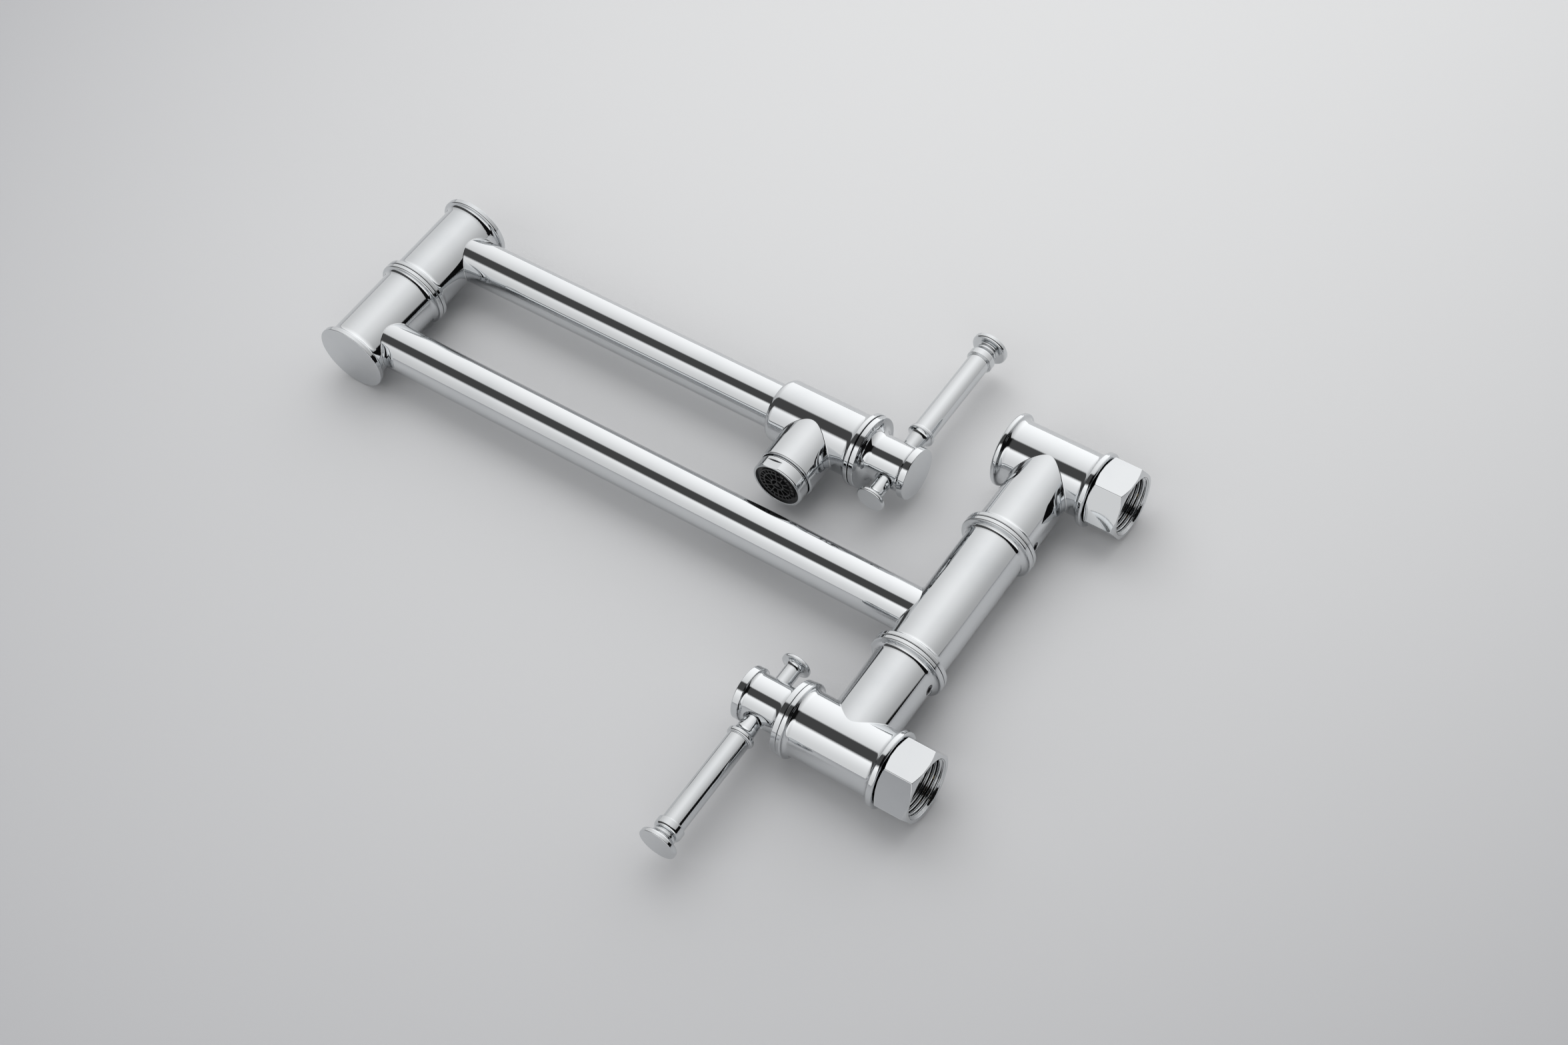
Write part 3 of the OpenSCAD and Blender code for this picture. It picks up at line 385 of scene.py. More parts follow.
class Axis:
    # a turning axis: angles start at one direction and heights run along the axis
    def __init__(self, origin, along, start):
        self.origin = Vector(origin)
        self.along = Vector(along)
        self.start = Vector(start)
        self.side = self.along.cross(self.start)

    def out(self, angle):
        return self.start * cos(angle) + self.side * sin(angle)

    def corner(self, angle, point):
        r, z, normalR, normalZ = point
        out = self.out(angle)
        return self.origin + out * r + self.along * z, out * normalR + self.along * normalZ


class Shell:
    # a skin gathered face by face, in millimetres
    def __init__(self):
        self.points = []
        self.lookup = {}
        self.faces = []
        self.normals = []

    def weld(self, point):
        key = tuple(round(part / meshing["weldGap"]) for part in point)
        if key not in self.lookup:
            self.lookup[key] = len(self.points)
            self.points.append(point)
        return self.lookup[key]

    def face(self, corners):
        kept = []
        for point, normal in corners:
            index = self.weld(point)
            if index not in [k[0] for k in kept]:
                kept.append((index, normal, point))
        if len(kept) < 3:
            return
        across = (kept[2][2] - kept[0][2]).cross(kept[-1][2] - kept[1][2])
        if across.dot(kept[0][1] + kept[1][1] + kept[2][1]) < 0:
            kept.reverse()
        self.faces.append([k[0] for k in kept])
        self.normals += [k[1] for k in kept]

    def strip(self, lower, upper, skip=()):
        # faces between two closed rows of corners
        count = len(lower)
        for j in range(count):
            if j not in skip:
                k = (j + 1) % count
                self.face([lower[j], lower[k], upper[k], upper[j]])

    def rows(self, rows):
        for lower, upper in zip(rows, rows[1:]):
            self.strip(lower, upper)

    def piece(self, name, body, nodes, slotName="chrome"):
        mesh = bpy.data.meshes.new(name)
        mesh.from_pydata([point * mm for point in self.points], [], self.faces)
        mesh.polygons.foreach_set("use_smooth", [True] * len(self.faces))
        mesh.normals_split_custom_set([normal.normalized() for normal in self.normals])
        mesh.materials.append(finishes[slotName])
        thing = addThing(name, mesh)
        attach(thing, body)
        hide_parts(*nodes)
        print("made", name, "with", len(self.faces), "faces")


def cutPoint(strip, z):
    low, high = strip[0], strip[1]
    t = (z - low[1]) / (high[1] - low[1])
    r, nr, nz = [low[i] + (high[i] - low[i]) * t for i in (0, 2, 3)]
    size = hypot(nr, nz)
    return (r, z, nr / size, nz / size)


def wallAt(strips, wall, z):
    # the point and normal of a named wall at a height
    best = None
    for strip in strips:
        if strip[2] == wall and abs(strip[1][1] - strip[0][1]) > meshing["weldGap"]:
            low, high = sorted((strip[0][1], strip[1][1]))
            gap = max(low - z, z - high, 0)
            if best is None or gap < best[0]:
                best = (gap, strip, min(max(z, low), high))
    return cutPoint(best[1], best[2])


def splitForHole(strips, hole):
    # gives the wall even rows over the height of a hole's window
    low, high = hole["at"] - hole["reach"], hole["at"] + hole["reach"]
    made = []
    done = False
    for strip in strips:
        start, end, wall, _ = strip
        first, last = start[1], end[1]
        if wall != hole["wall"] or max(first, last) <= low or min(first, last) >= high:
            made.append(strip)
            continue
        up = last > first
        enter, leave = (low, high) if up else (high, low)
        if (first < enter) == up and first != enter:
            made.append((start, cutPoint(strip, enter), wall, None))
        if not done:
            rows = hole["rows"]
            points = [wallAt(strips, wall, enter + (leave - enter) * i / rows) for i in range(rows + 1)]
            made += [(a, b, wall, hole) for a, b in zip(points, points[1:])]
            done = True
        if (last > leave) == up and last != leave:
            made.append((cutPoint(strip, leave), end, wall, None))
    return made


def turned(shell, axis, outline, columns=None, holes=()):
    # turns an outline, leaves out the window round each of its holes and fills it in again
    columns = columns or meshing["columns"]
    strips = outline.strips
    for hole in holes:
        strips = splitForHole(strips, hole)
    angles = [2 * pi * j / columns for j in range(columns)]
    for low, high, _, hole in strips:
        skip = set()
        if hole:
            for turn in hole["turns"]:
                centre = round(turn / 360 * columns)
                skip |= {(centre + j) % columns for j in range(-hole["half"], hole["half"])}
        lower, upper = [[axis.corner(a, point) for a in angles] for point in (low, high)]
        shell.strip(lower, upper, skip)
    return [frameHole(shell, axis, outline.strips, columns, hole, turn)
            for hole in holes for turn in hole["turns"]]


def frameHole(shell, axis, strips, columns, hole, turn):
    # faces from the window's frame to the hole, then the hole's edge:
    # swell 1 makes it a hollow fillet, -1 rounds it and 0 leaves it sharp
    half, rows, at, reach = hole["half"], hole["rows"], hole["at"], hole["reach"]
    centre = round(turn / 360 * columns)
    step = 2 * pi / columns
    mid = rows // 2
    frameIndex = [(half, i) for i in range(mid, rows + 1)]
    frameIndex += [(j, rows) for j in range(half - 1, -half - 1, -1)]
    frameIndex += [(-half, i) for i in range(rows - 1, -1, -1)]
    frameIndex += [(j, 0) for j in range(-half + 1, half + 1)]
    frameIndex += [(half, i) for i in range(1, mid)]
    count = len(frameIndex)
    bodyR = wallAt(strips, hole["wall"], at)[0]
    swell, fillet, radius = hole["swell"], hole["fillet"], hole["radius"]
    spineR = bodyR + swell * fillet
    reachR = radius + fillet
    out = axis.out(centre * step)
    across = axis.along.cross(out)
    side = Axis(axis.origin + axis.along * at, out, across)
    layers = [[] for _ in range(meshing["ringLayers"] + 1)]
    fillets = [[] for _ in range(meshing["filletSteps"] + 1)]
    heights = []
    for i, (j, row) in enumerate(frameIndex):
        a = 2 * pi * i / count
        x = reachR * cos(a)
        height = sqrt(spineR * spineR - x * x)
        heights.append(height)
        frameAngle, frameZ = j * step, at - reach + 2 * reach * row / rows
        holeAngle, holeZ = asin(x / spineR), at + reachR * sin(a)
        for n, layer in enumerate(layers):
            t = n / meshing["ringLayers"]
            z = frameZ + (holeZ - frameZ) * t
            angle = centre * step + frameAngle + (holeAngle - frameAngle) * t
            r, _, normalR, normalZ = wallAt(strips, hole["wall"], z)
            layer.append(axis.corner(angle, (r, z, normalR, normalZ)))
        if fillet:
            spine = side.corner(a, (reachR, height, 0, 0))[0]
            first = (layers[-1][-1][0] - spine).normalized()
            last = (side.corner(a, (radius, height, 0, 0))[0] - spine).normalized()
            for n, ring in enumerate(fillets):
                t = n / meshing["filletSteps"]
                ray = first.slerp(last, t) if first.angle(last) > meshing["leastTurn"] else first
                ring.append((spine + ray * fillet, ray * -swell))
    shell.rows(layers)
    if fillet:
        # the first row is the wall's own last one, so that the skin stays closed
        fillets[0] = [(layers[-1][i][0], fillets[0][i][1]) for i in range(count)]
        shell.rows(fillets)
    return {"axis": side, "heights": heights, "radius": radius, "count": count}


def sideWall(shell, opening, ends, outward):
    # the wall between a hole's edge and another row of heights, flat or wavy
    axis, radius, count = opening["axis"], opening["radius"], opening["count"]
    spans = list(zip(opening["heights"], ends))
    rows = []
    for n in range(meshing["wallLayers"] + 1):
        t = n / meshing["wallLayers"]
        rows.append([axis.corner(2 * pi * i / count, (radius, low + (high - low) * t, outward, 0))
                     for i, (low, high) in enumerate(spans)])
    shell.rows(rows)


def goOn(shell, opening, outline, outward, holes=()):
    # from a hole's edge on along an outline: outward is 1 for a branch and -1 for a blind hole
    level = outline.strips[0][0][1]
    sideWall(shell, opening, [level] * opening["count"], outward)
    return turned(shell, opening["axis"], outline, opening["count"], holes)


def wallHole(at, turns, radius, fillet, swell, window, wall="body"):
    # a round hole in a turned wall; window holds half its columns, its rows and half its height
    half, rows, reach = window
    return {"at": at, "turns": turns, "radius": radius, "fillet": fillet, "swell": swell,
            "wall": wall, "half": half, "rows": rows, "reach": reach}


# The chamber that both valve bodies have

valve = {"seat": 5.5, "chamberR": 9.5, "headR": 11, "headDepth": 9}


def chamber(front):
    # its corners from the floor to the open front, which lies on either side of the middle
    way = 1 if front > 0 else -1
    floorAt, headAt = -way * valve["seat"], front - way * valve["headDepth"]
    return [(0, floorAt), (valve["chamberR"], floorAt), (valve["chamberR"], headAt),
            (valve["headR"], headAt), (valve["headR"], front)]


# Fixed bodies at the wall, with their column halves

tee = {
    "bodyR": 14.6, "postR": 14.1, "front": 23.2, "frontRing": (16.9, 2.3, 2.5),
    "closedFront": 22.5, "closedRing": (16.9, 2.6, 2.8), "closedEdge": 1.2,
    "inletRing": (17.1, 2.9, 2.1), "inletEdge": 1.1, "tailR": 9.05, "tailDepth": 13.4,
    "boreR": 11.2, "boreDepth": 13, "fillet": 0.7, "saddleRise": 2, "saddleWindow": (34, 40, 16.6),
}
screw = {"radius": 2.3, "edge": 0.3, "drop": 6.35, "turn": 90, "window": (8, 16, 3.9)}


def postOutline(start, top):
    # column half from above its saddle to its seam, with its bore
    post = Outline(tee["postR"], start)
    ringAbove(post, tee["postR"], ringShape["seam"], top)
    floorAt = top - tee["boreDepth"]
    return post.path((tee["boreR"], top), (tee["boreR"], floorAt), (0, floorAt))


def screwHole(at, turn):
    return wallHole(at, [turn], screw["radius"], screw["edge"], -1, screw["window"])


def sinkScrew(shell, opening, floorR):
    goOn(shell, opening, Outline(screw["radius"], floorR).line(0, floorR), -1)


def makeTee(name, z, columnUp, postTop, closed):
    # columnUp is 1 where the column rises from the inlet and -1 where it hangs from it
    shell = Shell()
    axis = Axis((0, columnY, z), toY, toZ * columnUp)
    back = span(name, 1)[1] - columnY
    if closed:
        body = Outline(0, -tee["closedFront"])
        ringBelow(body, tee["bodyR"], tee["closedRing"], -tee["closedFront"], tee["closedEdge"])
    else:
        body = Outline(0, valve["seat"]).path(*chamber(-tee["front"]))
        ringBelow(body, tee["bodyR"], tee["frontRing"], -tee["front"])
    ringAbove(body, tee["bodyR"], tee["inletRing"], back, tee["inletEdge"])
    tailAt = back - tee["tailDepth"]
    body.path((tee["tailR"], back), (tee["tailR"], tailAt), (0, tailAt))
    saddle = wallHole(0, [0], tee["postR"], tee["fillet"], 1, tee["saddleWindow"])
    opening, = turned(shell, axis, body, holes=[saddle])
    post = postOutline(tee["bodyR"] + tee["saddleRise"], postTop)
    inPost = screwHole(postTop - screw["drop"], screw["turn"])
    screwOpening, = goOn(shell, opening, post, 1, [inPost])
    sinkScrew(shell, screwOpening, tee["boreR"])
    shell.piece(name + "_skin", "wall_body", [name])


upperPostTop = upperInletZ - span("upper_tee", 2)[0]
makeTee("lower_tee", 0, 1, span("lower_tee", 2)[1], closed=False)
makeTee("upper_tee", upperInletZ, -1, upperPostTop, closed=True)


# Turning sleeve and elbow bodies, each with the mouth of its arm

sleeve = {
    "bodyR": 14, "elbowR": 14.8, "boreR": 11.2, "recessR": 14.2, "recessH": 1, "floorDrop": 11.5,
    "mouthR": 10.53, "fillet": 0.6, "elbowFillet": 0.45,
    "mouthWindow": (24, 32, 12.2), "boreWindow": (32, 16, 11),
    "screwDrop": 8.85, "screwTurn": 180, "screwFloorR": 11.3,
}


def armMouth(at, fillet):
    # the mouth of an arm, once in the outer wall and once in the bore
    return [wallHole(at, [0], sleeve["mouthR"], fillet, 1, sleeve["mouthWindow"]),
            wallHole(at, [0], sleeve["mouthR"], 0, 0, sleeve["boreWindow"], "bore")]


def makeSleeve():
    shell = Shell()
    low, high = span("swivel_sleeve", 2)
    axis = Axis((0, columnY, 0), toZ, -toY)
    body = Outline(sleeve["recessR"], low)
    ringBelow(body, sleeve["bodyR"], ringShape["seam"], low)
    ringAbove(body, sleeve["bodyR"], ringShape["seam"], high)
    boreR, recessR = sleeve["boreR"], sleeve["recessR"]
    lowStep, highStep = low + sleeve["recessH"], high - sleeve["recessH"]
    body.path((recessR, high), (recessR, highStep), (boreR, highStep))
    body.line(boreR, lowStep, wall="bore")
    body.path((recessR, lowStep), (recessR, low))
    mouth = armMouth(lowerArmZ, sleeve["fillet"])
    outer, inner = turned(shell, axis, body, holes=mouth)
    sideWall(shell, outer, inner["heights"], -1)
    shell.piece("swivel_sleeve_skin", "lower_arm", ["swivel_sleeve"])


def makeElbow(name, armZ, up, body, screwed):
    # the closed end comes first, the seam last; up is 1 where the seam lies above the arm
    shell = Shell()
    seam, end = span(name, 2)[::-1] if up > 0 else span(name, 2)
    axis = Axis((0, elbowY, armZ), toZ * up, toY)
    low, high = -abs(armZ - end), abs(seam - armZ)
    elbow = Outline(0, low)
    ringBelow(elbow, sleeve["elbowR"], ringShape["cap"], low)
    ringAbove(elbow, sleeve["elbowR"], ringShape["seam"], high)
    elbow.line(sleeve["boreR"], high)
    elbow.line(sleeve["boreR"], -sleeve["floorDrop"], wall="bore")
    elbow.line(0, -sleeve["floorDrop"])
    holes = armMouth(0, sleeve["elbowFillet"])
    if screwed:
        holes.append(screwHole(high - sleeve["screwDrop"], sleeve["screwTurn"]))
    outer, inner, *screws = turned(shell, axis, elbow, holes=holes)
    sideWall(shell, outer, inner["heights"], -1)
    for opening in screws:
        sinkScrew(shell, opening, sleeve["screwFloorR"])
    shell.piece(name + "_skin", body, [name])


makeSleeve()
makeElbow("elbow_lower_body", lowerArmZ, 1, "lower_arm", screwed=False)
makeElbow("elbow_upper_body", upperArmZ, -1, "upper_arm", screwed=True)


# Arm tubes. Their ends follow the bores that they open into

arm = {"outerR": 10.5, "innerR": 9, "copeR": 11.25, "columns": 128, "step": 8}


def makeArm(name, body, startY, endY, z, endCoped):
    shell = Shell()
    way = 1 if endY > startY else -1
    axis = Axis((0, startY, z), toY * way, toX)
    length = abs(endY - startY)
    angles = [2 * pi * j / arm["columns"] for j in range(arm["columns"])]

    def row(radius, share, facing):
        corners = []
        for a in angles:
            low = sqrt(arm["copeR"] ** 2 - (radius * cos(a)) ** 2)
            high = length - (low if endCoped else 0)
            corners.append(axis.corner(a, (radius, low + (high - low) * share, facing, 0)))
        return corners

    count = ceil(length / arm["step"])
    shares = [i / count for i in range(count + 1)]
    shell.rows([row(arm["outerR"], share, 1) for share in shares])
    shell.rows([row(arm["innerR"], share, -1) for share in shares])
    for share, facing in ((0, -1), (1, 1)):
        shell.rows([[(point, axis.along * facing) for point, _ in row(radius, share, 1)]
                    for radius in (arm["innerR"], arm["outerR"])])
    shell.piece(name + "_skin", body, [name])


upperArmEnd = span("upper_arm_tube", 1)[1]
makeArm("lower_arm_tube", "lower_arm", columnY, elbowY, lowerArmZ, endCoped=True)
makeArm("upper_arm_tube", "upper_arm", elbowY, upperArmEnd, upperArmZ, endCoped=False)


# Spout body with its outlet branch

spout = {
    "bodyR": 14.5, "ring": (16.9, 2.3, 2.5), "front": 23.2, "back": 22.6, "shoulder": 3.5,
    "armR": 10.53, "armDepth": 11, "mouthEdge": 0.3,
    "branchR": 13.1, "branchEdge": 0.7, "rimR": 12.35, "rimDepth": 0.9,
    "threadR": 12, "threadDepth": 6, "fillet": 0.7, "saddleRise": 2, "saddleWindow": (30, 36, 15),
}


def makeSpout():
    shell = Shell()
    axis = Axis((0, spoutY, upperArmZ), toY, -toZ)
    back, front, bodyR = -spout["back"], spout["front"], spout["bodyR"]
    armR, mouthEdge, shoulder = spout["armR"], spout["mouthEdge"], spout["shoulder"]
    stopAt = back + spout["armDepth"]
    body = Outline(0, stopAt).path((armR, stopAt), (armR, back + mouthEdge))
    body.arc(armR + mouthEdge, back + mouthEdge, 90)
    body.line(bodyR - shoulder, back)
    body.arc(bodyR - shoulder, back + shoulder, 90)
    ringAbove(body, bodyR, spout["ring"], front)
    body.path(*reversed(chamber(front)))
    end = upperArmZ - span("spout_body", 2)[0]
    branchR, edge, threadR = spout["branchR"], spout["branchEdge"], spout["threadR"]
    threadEnd = end - spout["threadDepth"]
    branch = Outline(branchR, bodyR + spout["saddleRise"]).line(branchR, end - edge)
    branch.arc(branchR - edge, end - edge, 90)
    branch.path((spout["rimR"], end), (threadR, end - spout["rimDepth"]),
                (threadR, threadEnd), (0, threadEnd))
    saddle = wallHole(0, [0], branchR, spout["fillet"], 1, spout["saddleWindow"])
    opening, = turned(shell, axis, body, holes=[saddle])
    goOn(shell, opening, branch, 1)
    shell.piece("spout_body_skin", "upper_arm", ["spout_body"])


makeSpout()


# Union nuts: a hexagon with rounded corners and chamfered ends, threaded inside

nut = {
    "flats": 30, "turn": 28, "landR": 15.05, "chamferSlope": 30, "cornerR": 0.5,
    "edge": 0.22, "leastBevel": 0.12, "edgeShare": 0.4, "sidePoints": 22, "cornerPoints": 6,
    "lipR": 9.1, "crestR": 12.06, "rootR": 13.1, "mouthR": 13.4, "mouthEdge": 0.2, "pitch": 1.814,
    "threadStart": 3, "threadStep": 0.14, "probe": 0.02, "probeTurn": 0.002,
}


def hexagonPoints():
    # angle, radius and outward direction of the points round a rounded hexagon
    half, soft = nut["flats"] / 2, nut["cornerR"]
    reach = (half - soft) * tan(radians(30))
    points = []
    for side in range(6):
        face = radians(nut["turn"] + 30 + 60 * side)
        wayX, wayY = cos(face), sin(face)
        for i in range(nut["sidePoints"]):
            s = -reach + 2 * reach * i / (nut["sidePoints"] - 1)
            points.append((half * wayX - s * wayY, half * wayY + s * wayX, face))
        middleX = (half - soft) * wayX - reach * wayY
        middleY = (half - soft) * wayY + reach * wayX
        for i in range(1, nut["cornerPoints"]):
            a = face + radians(60) * i / nut["cornerPoints"]
            points.append((middleX + soft * cos(a), middleY + soft * sin(a), a))
    return [(atan2(y, x), hypot(x, y), a) for x, y, a in points]


def makeNut(name, body, z):
    shell = Shell()
    low, high = span(name, 1)
    length = high - low
    axis = Axis((0, low, z), toY, toX)
    corners = hexagonPoints()
    slope = radians(nut["chamferSlope"])

    def outside(facing):
        # rows from an end face, over its chamfer, to the flats
        rows = [[] for _ in range(4)]
        for angle, radius, normalAngle in corners:
            bevel = max(radius - nut["landR"], nut["leastBevel"])
            drop = bevel * tan(slope)
            edge = min(nut["edge"], nut["edgeShare"] * bevel)
            level = length if facing > 0 else 0
            cone = axis.out(angle) * sin(slope) + axis.along * cos(slope) * facing
            flat = axis.out(normalAngle)
            for row, (r, down, normal) in zip(rows, [
                    (radius - bevel, 0, axis.along * facing), (radius - bevel, 0, cone),
                    (radius - edge, drop * (1 - edge / bevel), cone), (radius, drop + edge, flat)]):
                point = axis.origin + axis.out(angle) * r + axis.along * (level - facing * down)
                row.append((point, normal))
        return rows

    def ring(radius, level, normalR, normalZ):
        return [axis.corner(angle, (radius, level, normalR, normalZ)) for angle, _, _ in corners]

    top, bottom = outside(1), outside(-1)
    shell.rows([bottom[1], bottom[2], bottom[3], top[3], top[2], top[1]])
    crestR, mouthR, soft = nut["crestR"], nut["mouthR"], nut["mouthEdge"]
    start, end = nut["threadStart"], length - soft
    lead = length - (mouthR - crestR)
    shell.rows([top[0], ring(mouthR + soft, length, 0, 1)])
    shell.rows([ring(mouthR + soft, length, 0, 1), ring(mouthR, end, -1, 0)])

    def threadR(angle, level):
        # the thread's wave, or the cone of the mouth where that is wider
        wave = 0.5 + 0.5 * cos(2 * pi * level / nut["pitch"] - angle)
        cone = crestR + (level - lead) * (mouthR - crestR) / (end - lead)
        return max(crestR + (nut["rootR"] - crestR) * wave, cone)

    def threadRow(level):
        row = []
        rise, turn = nut["probe"], nut["probeTurn"]
        for angle, _, _ in corners:
            radius = threadR(angle, level)
            slopeZ = (threadR(angle, level + rise) - threadR(angle, level - rise)) / (2 * rise)
            slopeA = (threadR(angle + turn, level) - threadR(angle - turn, level)) / (2 * turn)
            out = axis.out(angle)
            normal = axis.along * slopeZ + axis.along.cross(out) * (slopeA / radius) - out
            row.append((axis.origin + out * radius + axis.along * level, normal.normalized()))
        return row

    count = round((end - start) / nut["threadStep"])
    threads = [threadRow(start + (end - start) * i / count) for i in range(count)]
    threads.append(ring(mouthR, end, -1, 1))
    shell.rows(threads)
    shell.rows([[(point, axis.along) for point, _ in threads[0]], ring(nut["lipR"], start, 0, 1)])
    shell.rows([ring(nut["lipR"], start, -1, 0), ring(nut["lipR"], 0, -1, 0)])
    shell.rows([ring(nut["lipR"], 0, 0, -1), bottom[0]])
    shell.piece(name + "_skin", body, [name])


makeNut("lower_union_nut", "lower_nut", 0)
makeNut("upper_union_nut", "upper_nut", upperInletZ)


# Handles: hub, cap, lever and knob

hub = {
    "flangeR": 16.6, "gap": 0.3, "flangeH": 2.8, "flareR": 4, "bodyR": 10.5, "waist": 20.4,
    "endFlare": 1.6, "endR": 11.3, "edge": 0.35, "skirtR": 8.5, "skirtH": 7,
    "screwR": 4.5, "web": 15.8, "station": 15.3, "studR": 3.05, "studEnd": 6,
    "recessR": 4.7, "recessFloor": 9, "recessEdge": 0.3, "recessWindow": (16, 32, 5.8),
    "capR": 11.9, "capH": 3.4, "capEdge": 0.4, "capGap": 0.06, "pegH": 3, "pegPlay": 0.05,
}
lever = {
    "studR": 3, "studEnd": 6, "floor": 9, "neckR": 3.85, "neckTopR": 4.4, "neckEnd": 15.5,
    "collarFlare": 2.7, "collarR": 6.2, "collarLen": 2.1, "collarRound": 0.84, "edge": 0.4,
    "gripR": 5.2, "gripLen": 45.7, "cove": 0.4,
    "ferruleR": 6.2, "ferruleLen": 4.6, "ferruleRound": 1.84, "grooveR": 4.6, "grooveLen": 0.4,
    "pearlR": 5.2, "pearlLen": 1.4, "flareLen": 1, "rimR": 8.5, "rimH": 2.6, "rimRound": 1.17,
}
knob = {
    "stemR": 3.7, "stemEnd": 17.4, "trumpetLen": 2.6,
    "rimR": 6.7, "rimH": 1.8, "edge": 0.4, "round": 0.81,
}


def hubOutline():
    flareR, end = hub["bodyR"] + hub["flareR"], hub["waist"] + hub["endFlare"]
    turning = Outline(0, hub["skirtH"])
    turning.path((hub["skirtR"], hub["skirtH"]), (hub["skirtR"], hub["gap"]))
    turning.bead(hub["flangeR"], hub["gap"], hub["flangeH"], hub["edge"])
    turning.line(flareR, hub["flangeH"])
    turning.arc(flareR, hub["flangeH"] + hub["flareR"], -90, wall="body")
    turning.line(hub["bodyR"], hub["waist"], wall="body")
    turning.flare(hub["endR"], hub["endFlare"], wall="body")
    return turning.path((hub["screwR"], end), (hub["screwR"], hub["web"]), (0, hub["web"]))


def recessOutline():
    # the hole for a lever or a knob, down to the end of its stud
    studR, studEnd, floorAt = hub["studR"], hub["studEnd"], hub["recessFloor"]
    return Outline(hub["recessR"], floorAt).path((studR, floorAt), (studR, studEnd), (0, studEnd))


def capOutline():
    end = hub["waist"] + hub["endFlare"]
    base, top = end + hub["capGap"], end + hub["capH"]
    pegR, pegEnd = hub["screwR"] - hub["pegPlay"], base - hub["pegH"]
    disc = Outline(0, pegEnd).path((pegR, pegEnd), (pegR, base))
    return disc.bead(hub["capR"], base, top, hub["capEdge"]).line(0, top)


def rodOutline(neckR):
    # the stud that a lever or a knob has in the hub, up to its neck
    studR, studEnd, floorAt = lever["studR"], lever["studEnd"], lever["floor"]
    return Outline(0, studEnd).path((studR, studEnd), (studR, floorAt), (neckR, floorAt))


def leverOutline():
    edge, cove, gripR, grooveR = lever["edge"], lever["cove"], lever["gripR"], lever["grooveR"]
    collarAt = lever["neckEnd"] + lever["collarFlare"]
    gripAt = collarAt + lever["collarLen"]
    ferruleAt = gripAt + lever["gripLen"]
    grooveAt = ferruleAt + lever["ferruleLen"]
    pearlAt = grooveAt + lever["grooveLen"]
    pearlEnd = pearlAt + lever["pearlLen"]
    flareAt = pearlEnd + lever["grooveLen"]
    rimAt = flareAt + lever["flareLen"]
    rimEnd = rimAt + lever["rimH"]
    rod = rodOutline(lever["neckR"])
    rod.line(lever["neckTopR"], lever["neckEnd"])
    rod.flare(lever["collarR"] - edge, lever["collarFlare"])
    rod.bead(lever["collarR"], collarAt, gripAt, edge, lever["collarRound"])
    rod.line(gripR + cove, gripAt)
    rod.flare(gripR, cove)
    rod.line(gripR, ferruleAt - cove)
    rod.flare(gripR + cove, cove)
    rod.bead(lever["ferruleR"], ferruleAt, grooveAt, edge, lever["ferruleRound"])
    rod.path((grooveR, grooveAt), (grooveR, pearlAt))
    rod.bead(lever["pearlR"], pearlAt, pearlEnd, edge)
    rod.path((grooveR, pearlEnd), (grooveR, flareAt))
    rod.flare(grooveR + lever["flareLen"], lever["flareLen"])
    return rod.bead(lever["rimR"], rimAt, rimEnd, lever["rimRound"], edge).line(0, rimEnd)


def knobOutline():
    rimAt = knob["stemEnd"] + knob["trumpetLen"]
    rimEnd = rimAt + knob["rimH"]
    rod = rodOutline(knob["stemR"]).line(knob["stemR"], knob["stemEnd"])
    rod.flare(knob["rimR"] - knob["edge"], knob["trumpetLen"])
    return rod.bead(knob["rimR"], rimAt, rimEnd, knob["edge"], knob["round"]).line(0, rimEnd)


def makeHandle(prefix, seam, outward, leverWay):
    # hub and cap turn about the valve's axis, lever and knob about a line across it
    middleAxis, across = Axis(seam, outward, leverWay), seam + outward * hub["station"]
    recesses = wallHole(hub["station"], [0, 180], hub["recessR"], hub["recessEdge"], -1,
                        hub["recessWindow"])
    coarse, fine = meshing["columns"], meshing["fineColumns"]
    for suffix, axis, outline, columns, holes in [
            ("_handle_hub", middleAxis, hubOutline(), coarse, [recesses]),
            ("_hub_cap", middleAxis, capOutline(), coarse, []),
            ("_lever", Axis(across, leverWay, outward), leverOutline(), fine, []),
            ("_knob", Axis(across, -leverWay, outward), knobOutline(), fine, [])]:
        shell = Shell()
        for opening in turned(shell, axis, outline, columns, holes):
            goOn(shell, opening, recessOutline(), -1)
        shell.piece(prefix + suffix + "_skin", prefix + "_handle", [prefix + suffix])


makeHandle("lower", Vector((0, lowerSeamY, 0)), -toY, -toZ)
makeHandle("spout", Vector((0, spoutSeamY, upperArmZ)), toY, toZ)


# Aerator: its ring with two wrench flats, and the ribbed black insert

aerator = {
    "neckR": 11.95, "groove": 0.55, "ringR": 12.3, "edge": 0.8, "innerEdge": 0.35, "innerR": 10.95,
    "flatDepth": 0.7, "flatH": 4.2, "flatTurn": 12, "flatColumns": 16, "roundColumns": 56,
    "threadH": 4.9, "insertR": 10.9, "rimSink": 0.9, "rimPoints": 120, "depth": 4, "bevel": 0.1,
    "rowOut": 8.94, "rowMid": 6.76, "rowIn": 3.05, "wall": 0.7,
    "rib": 0.6, "ribCount": 24, "hubR": 1.2, "hubRibs": 3, "slotSteps": 6,
}


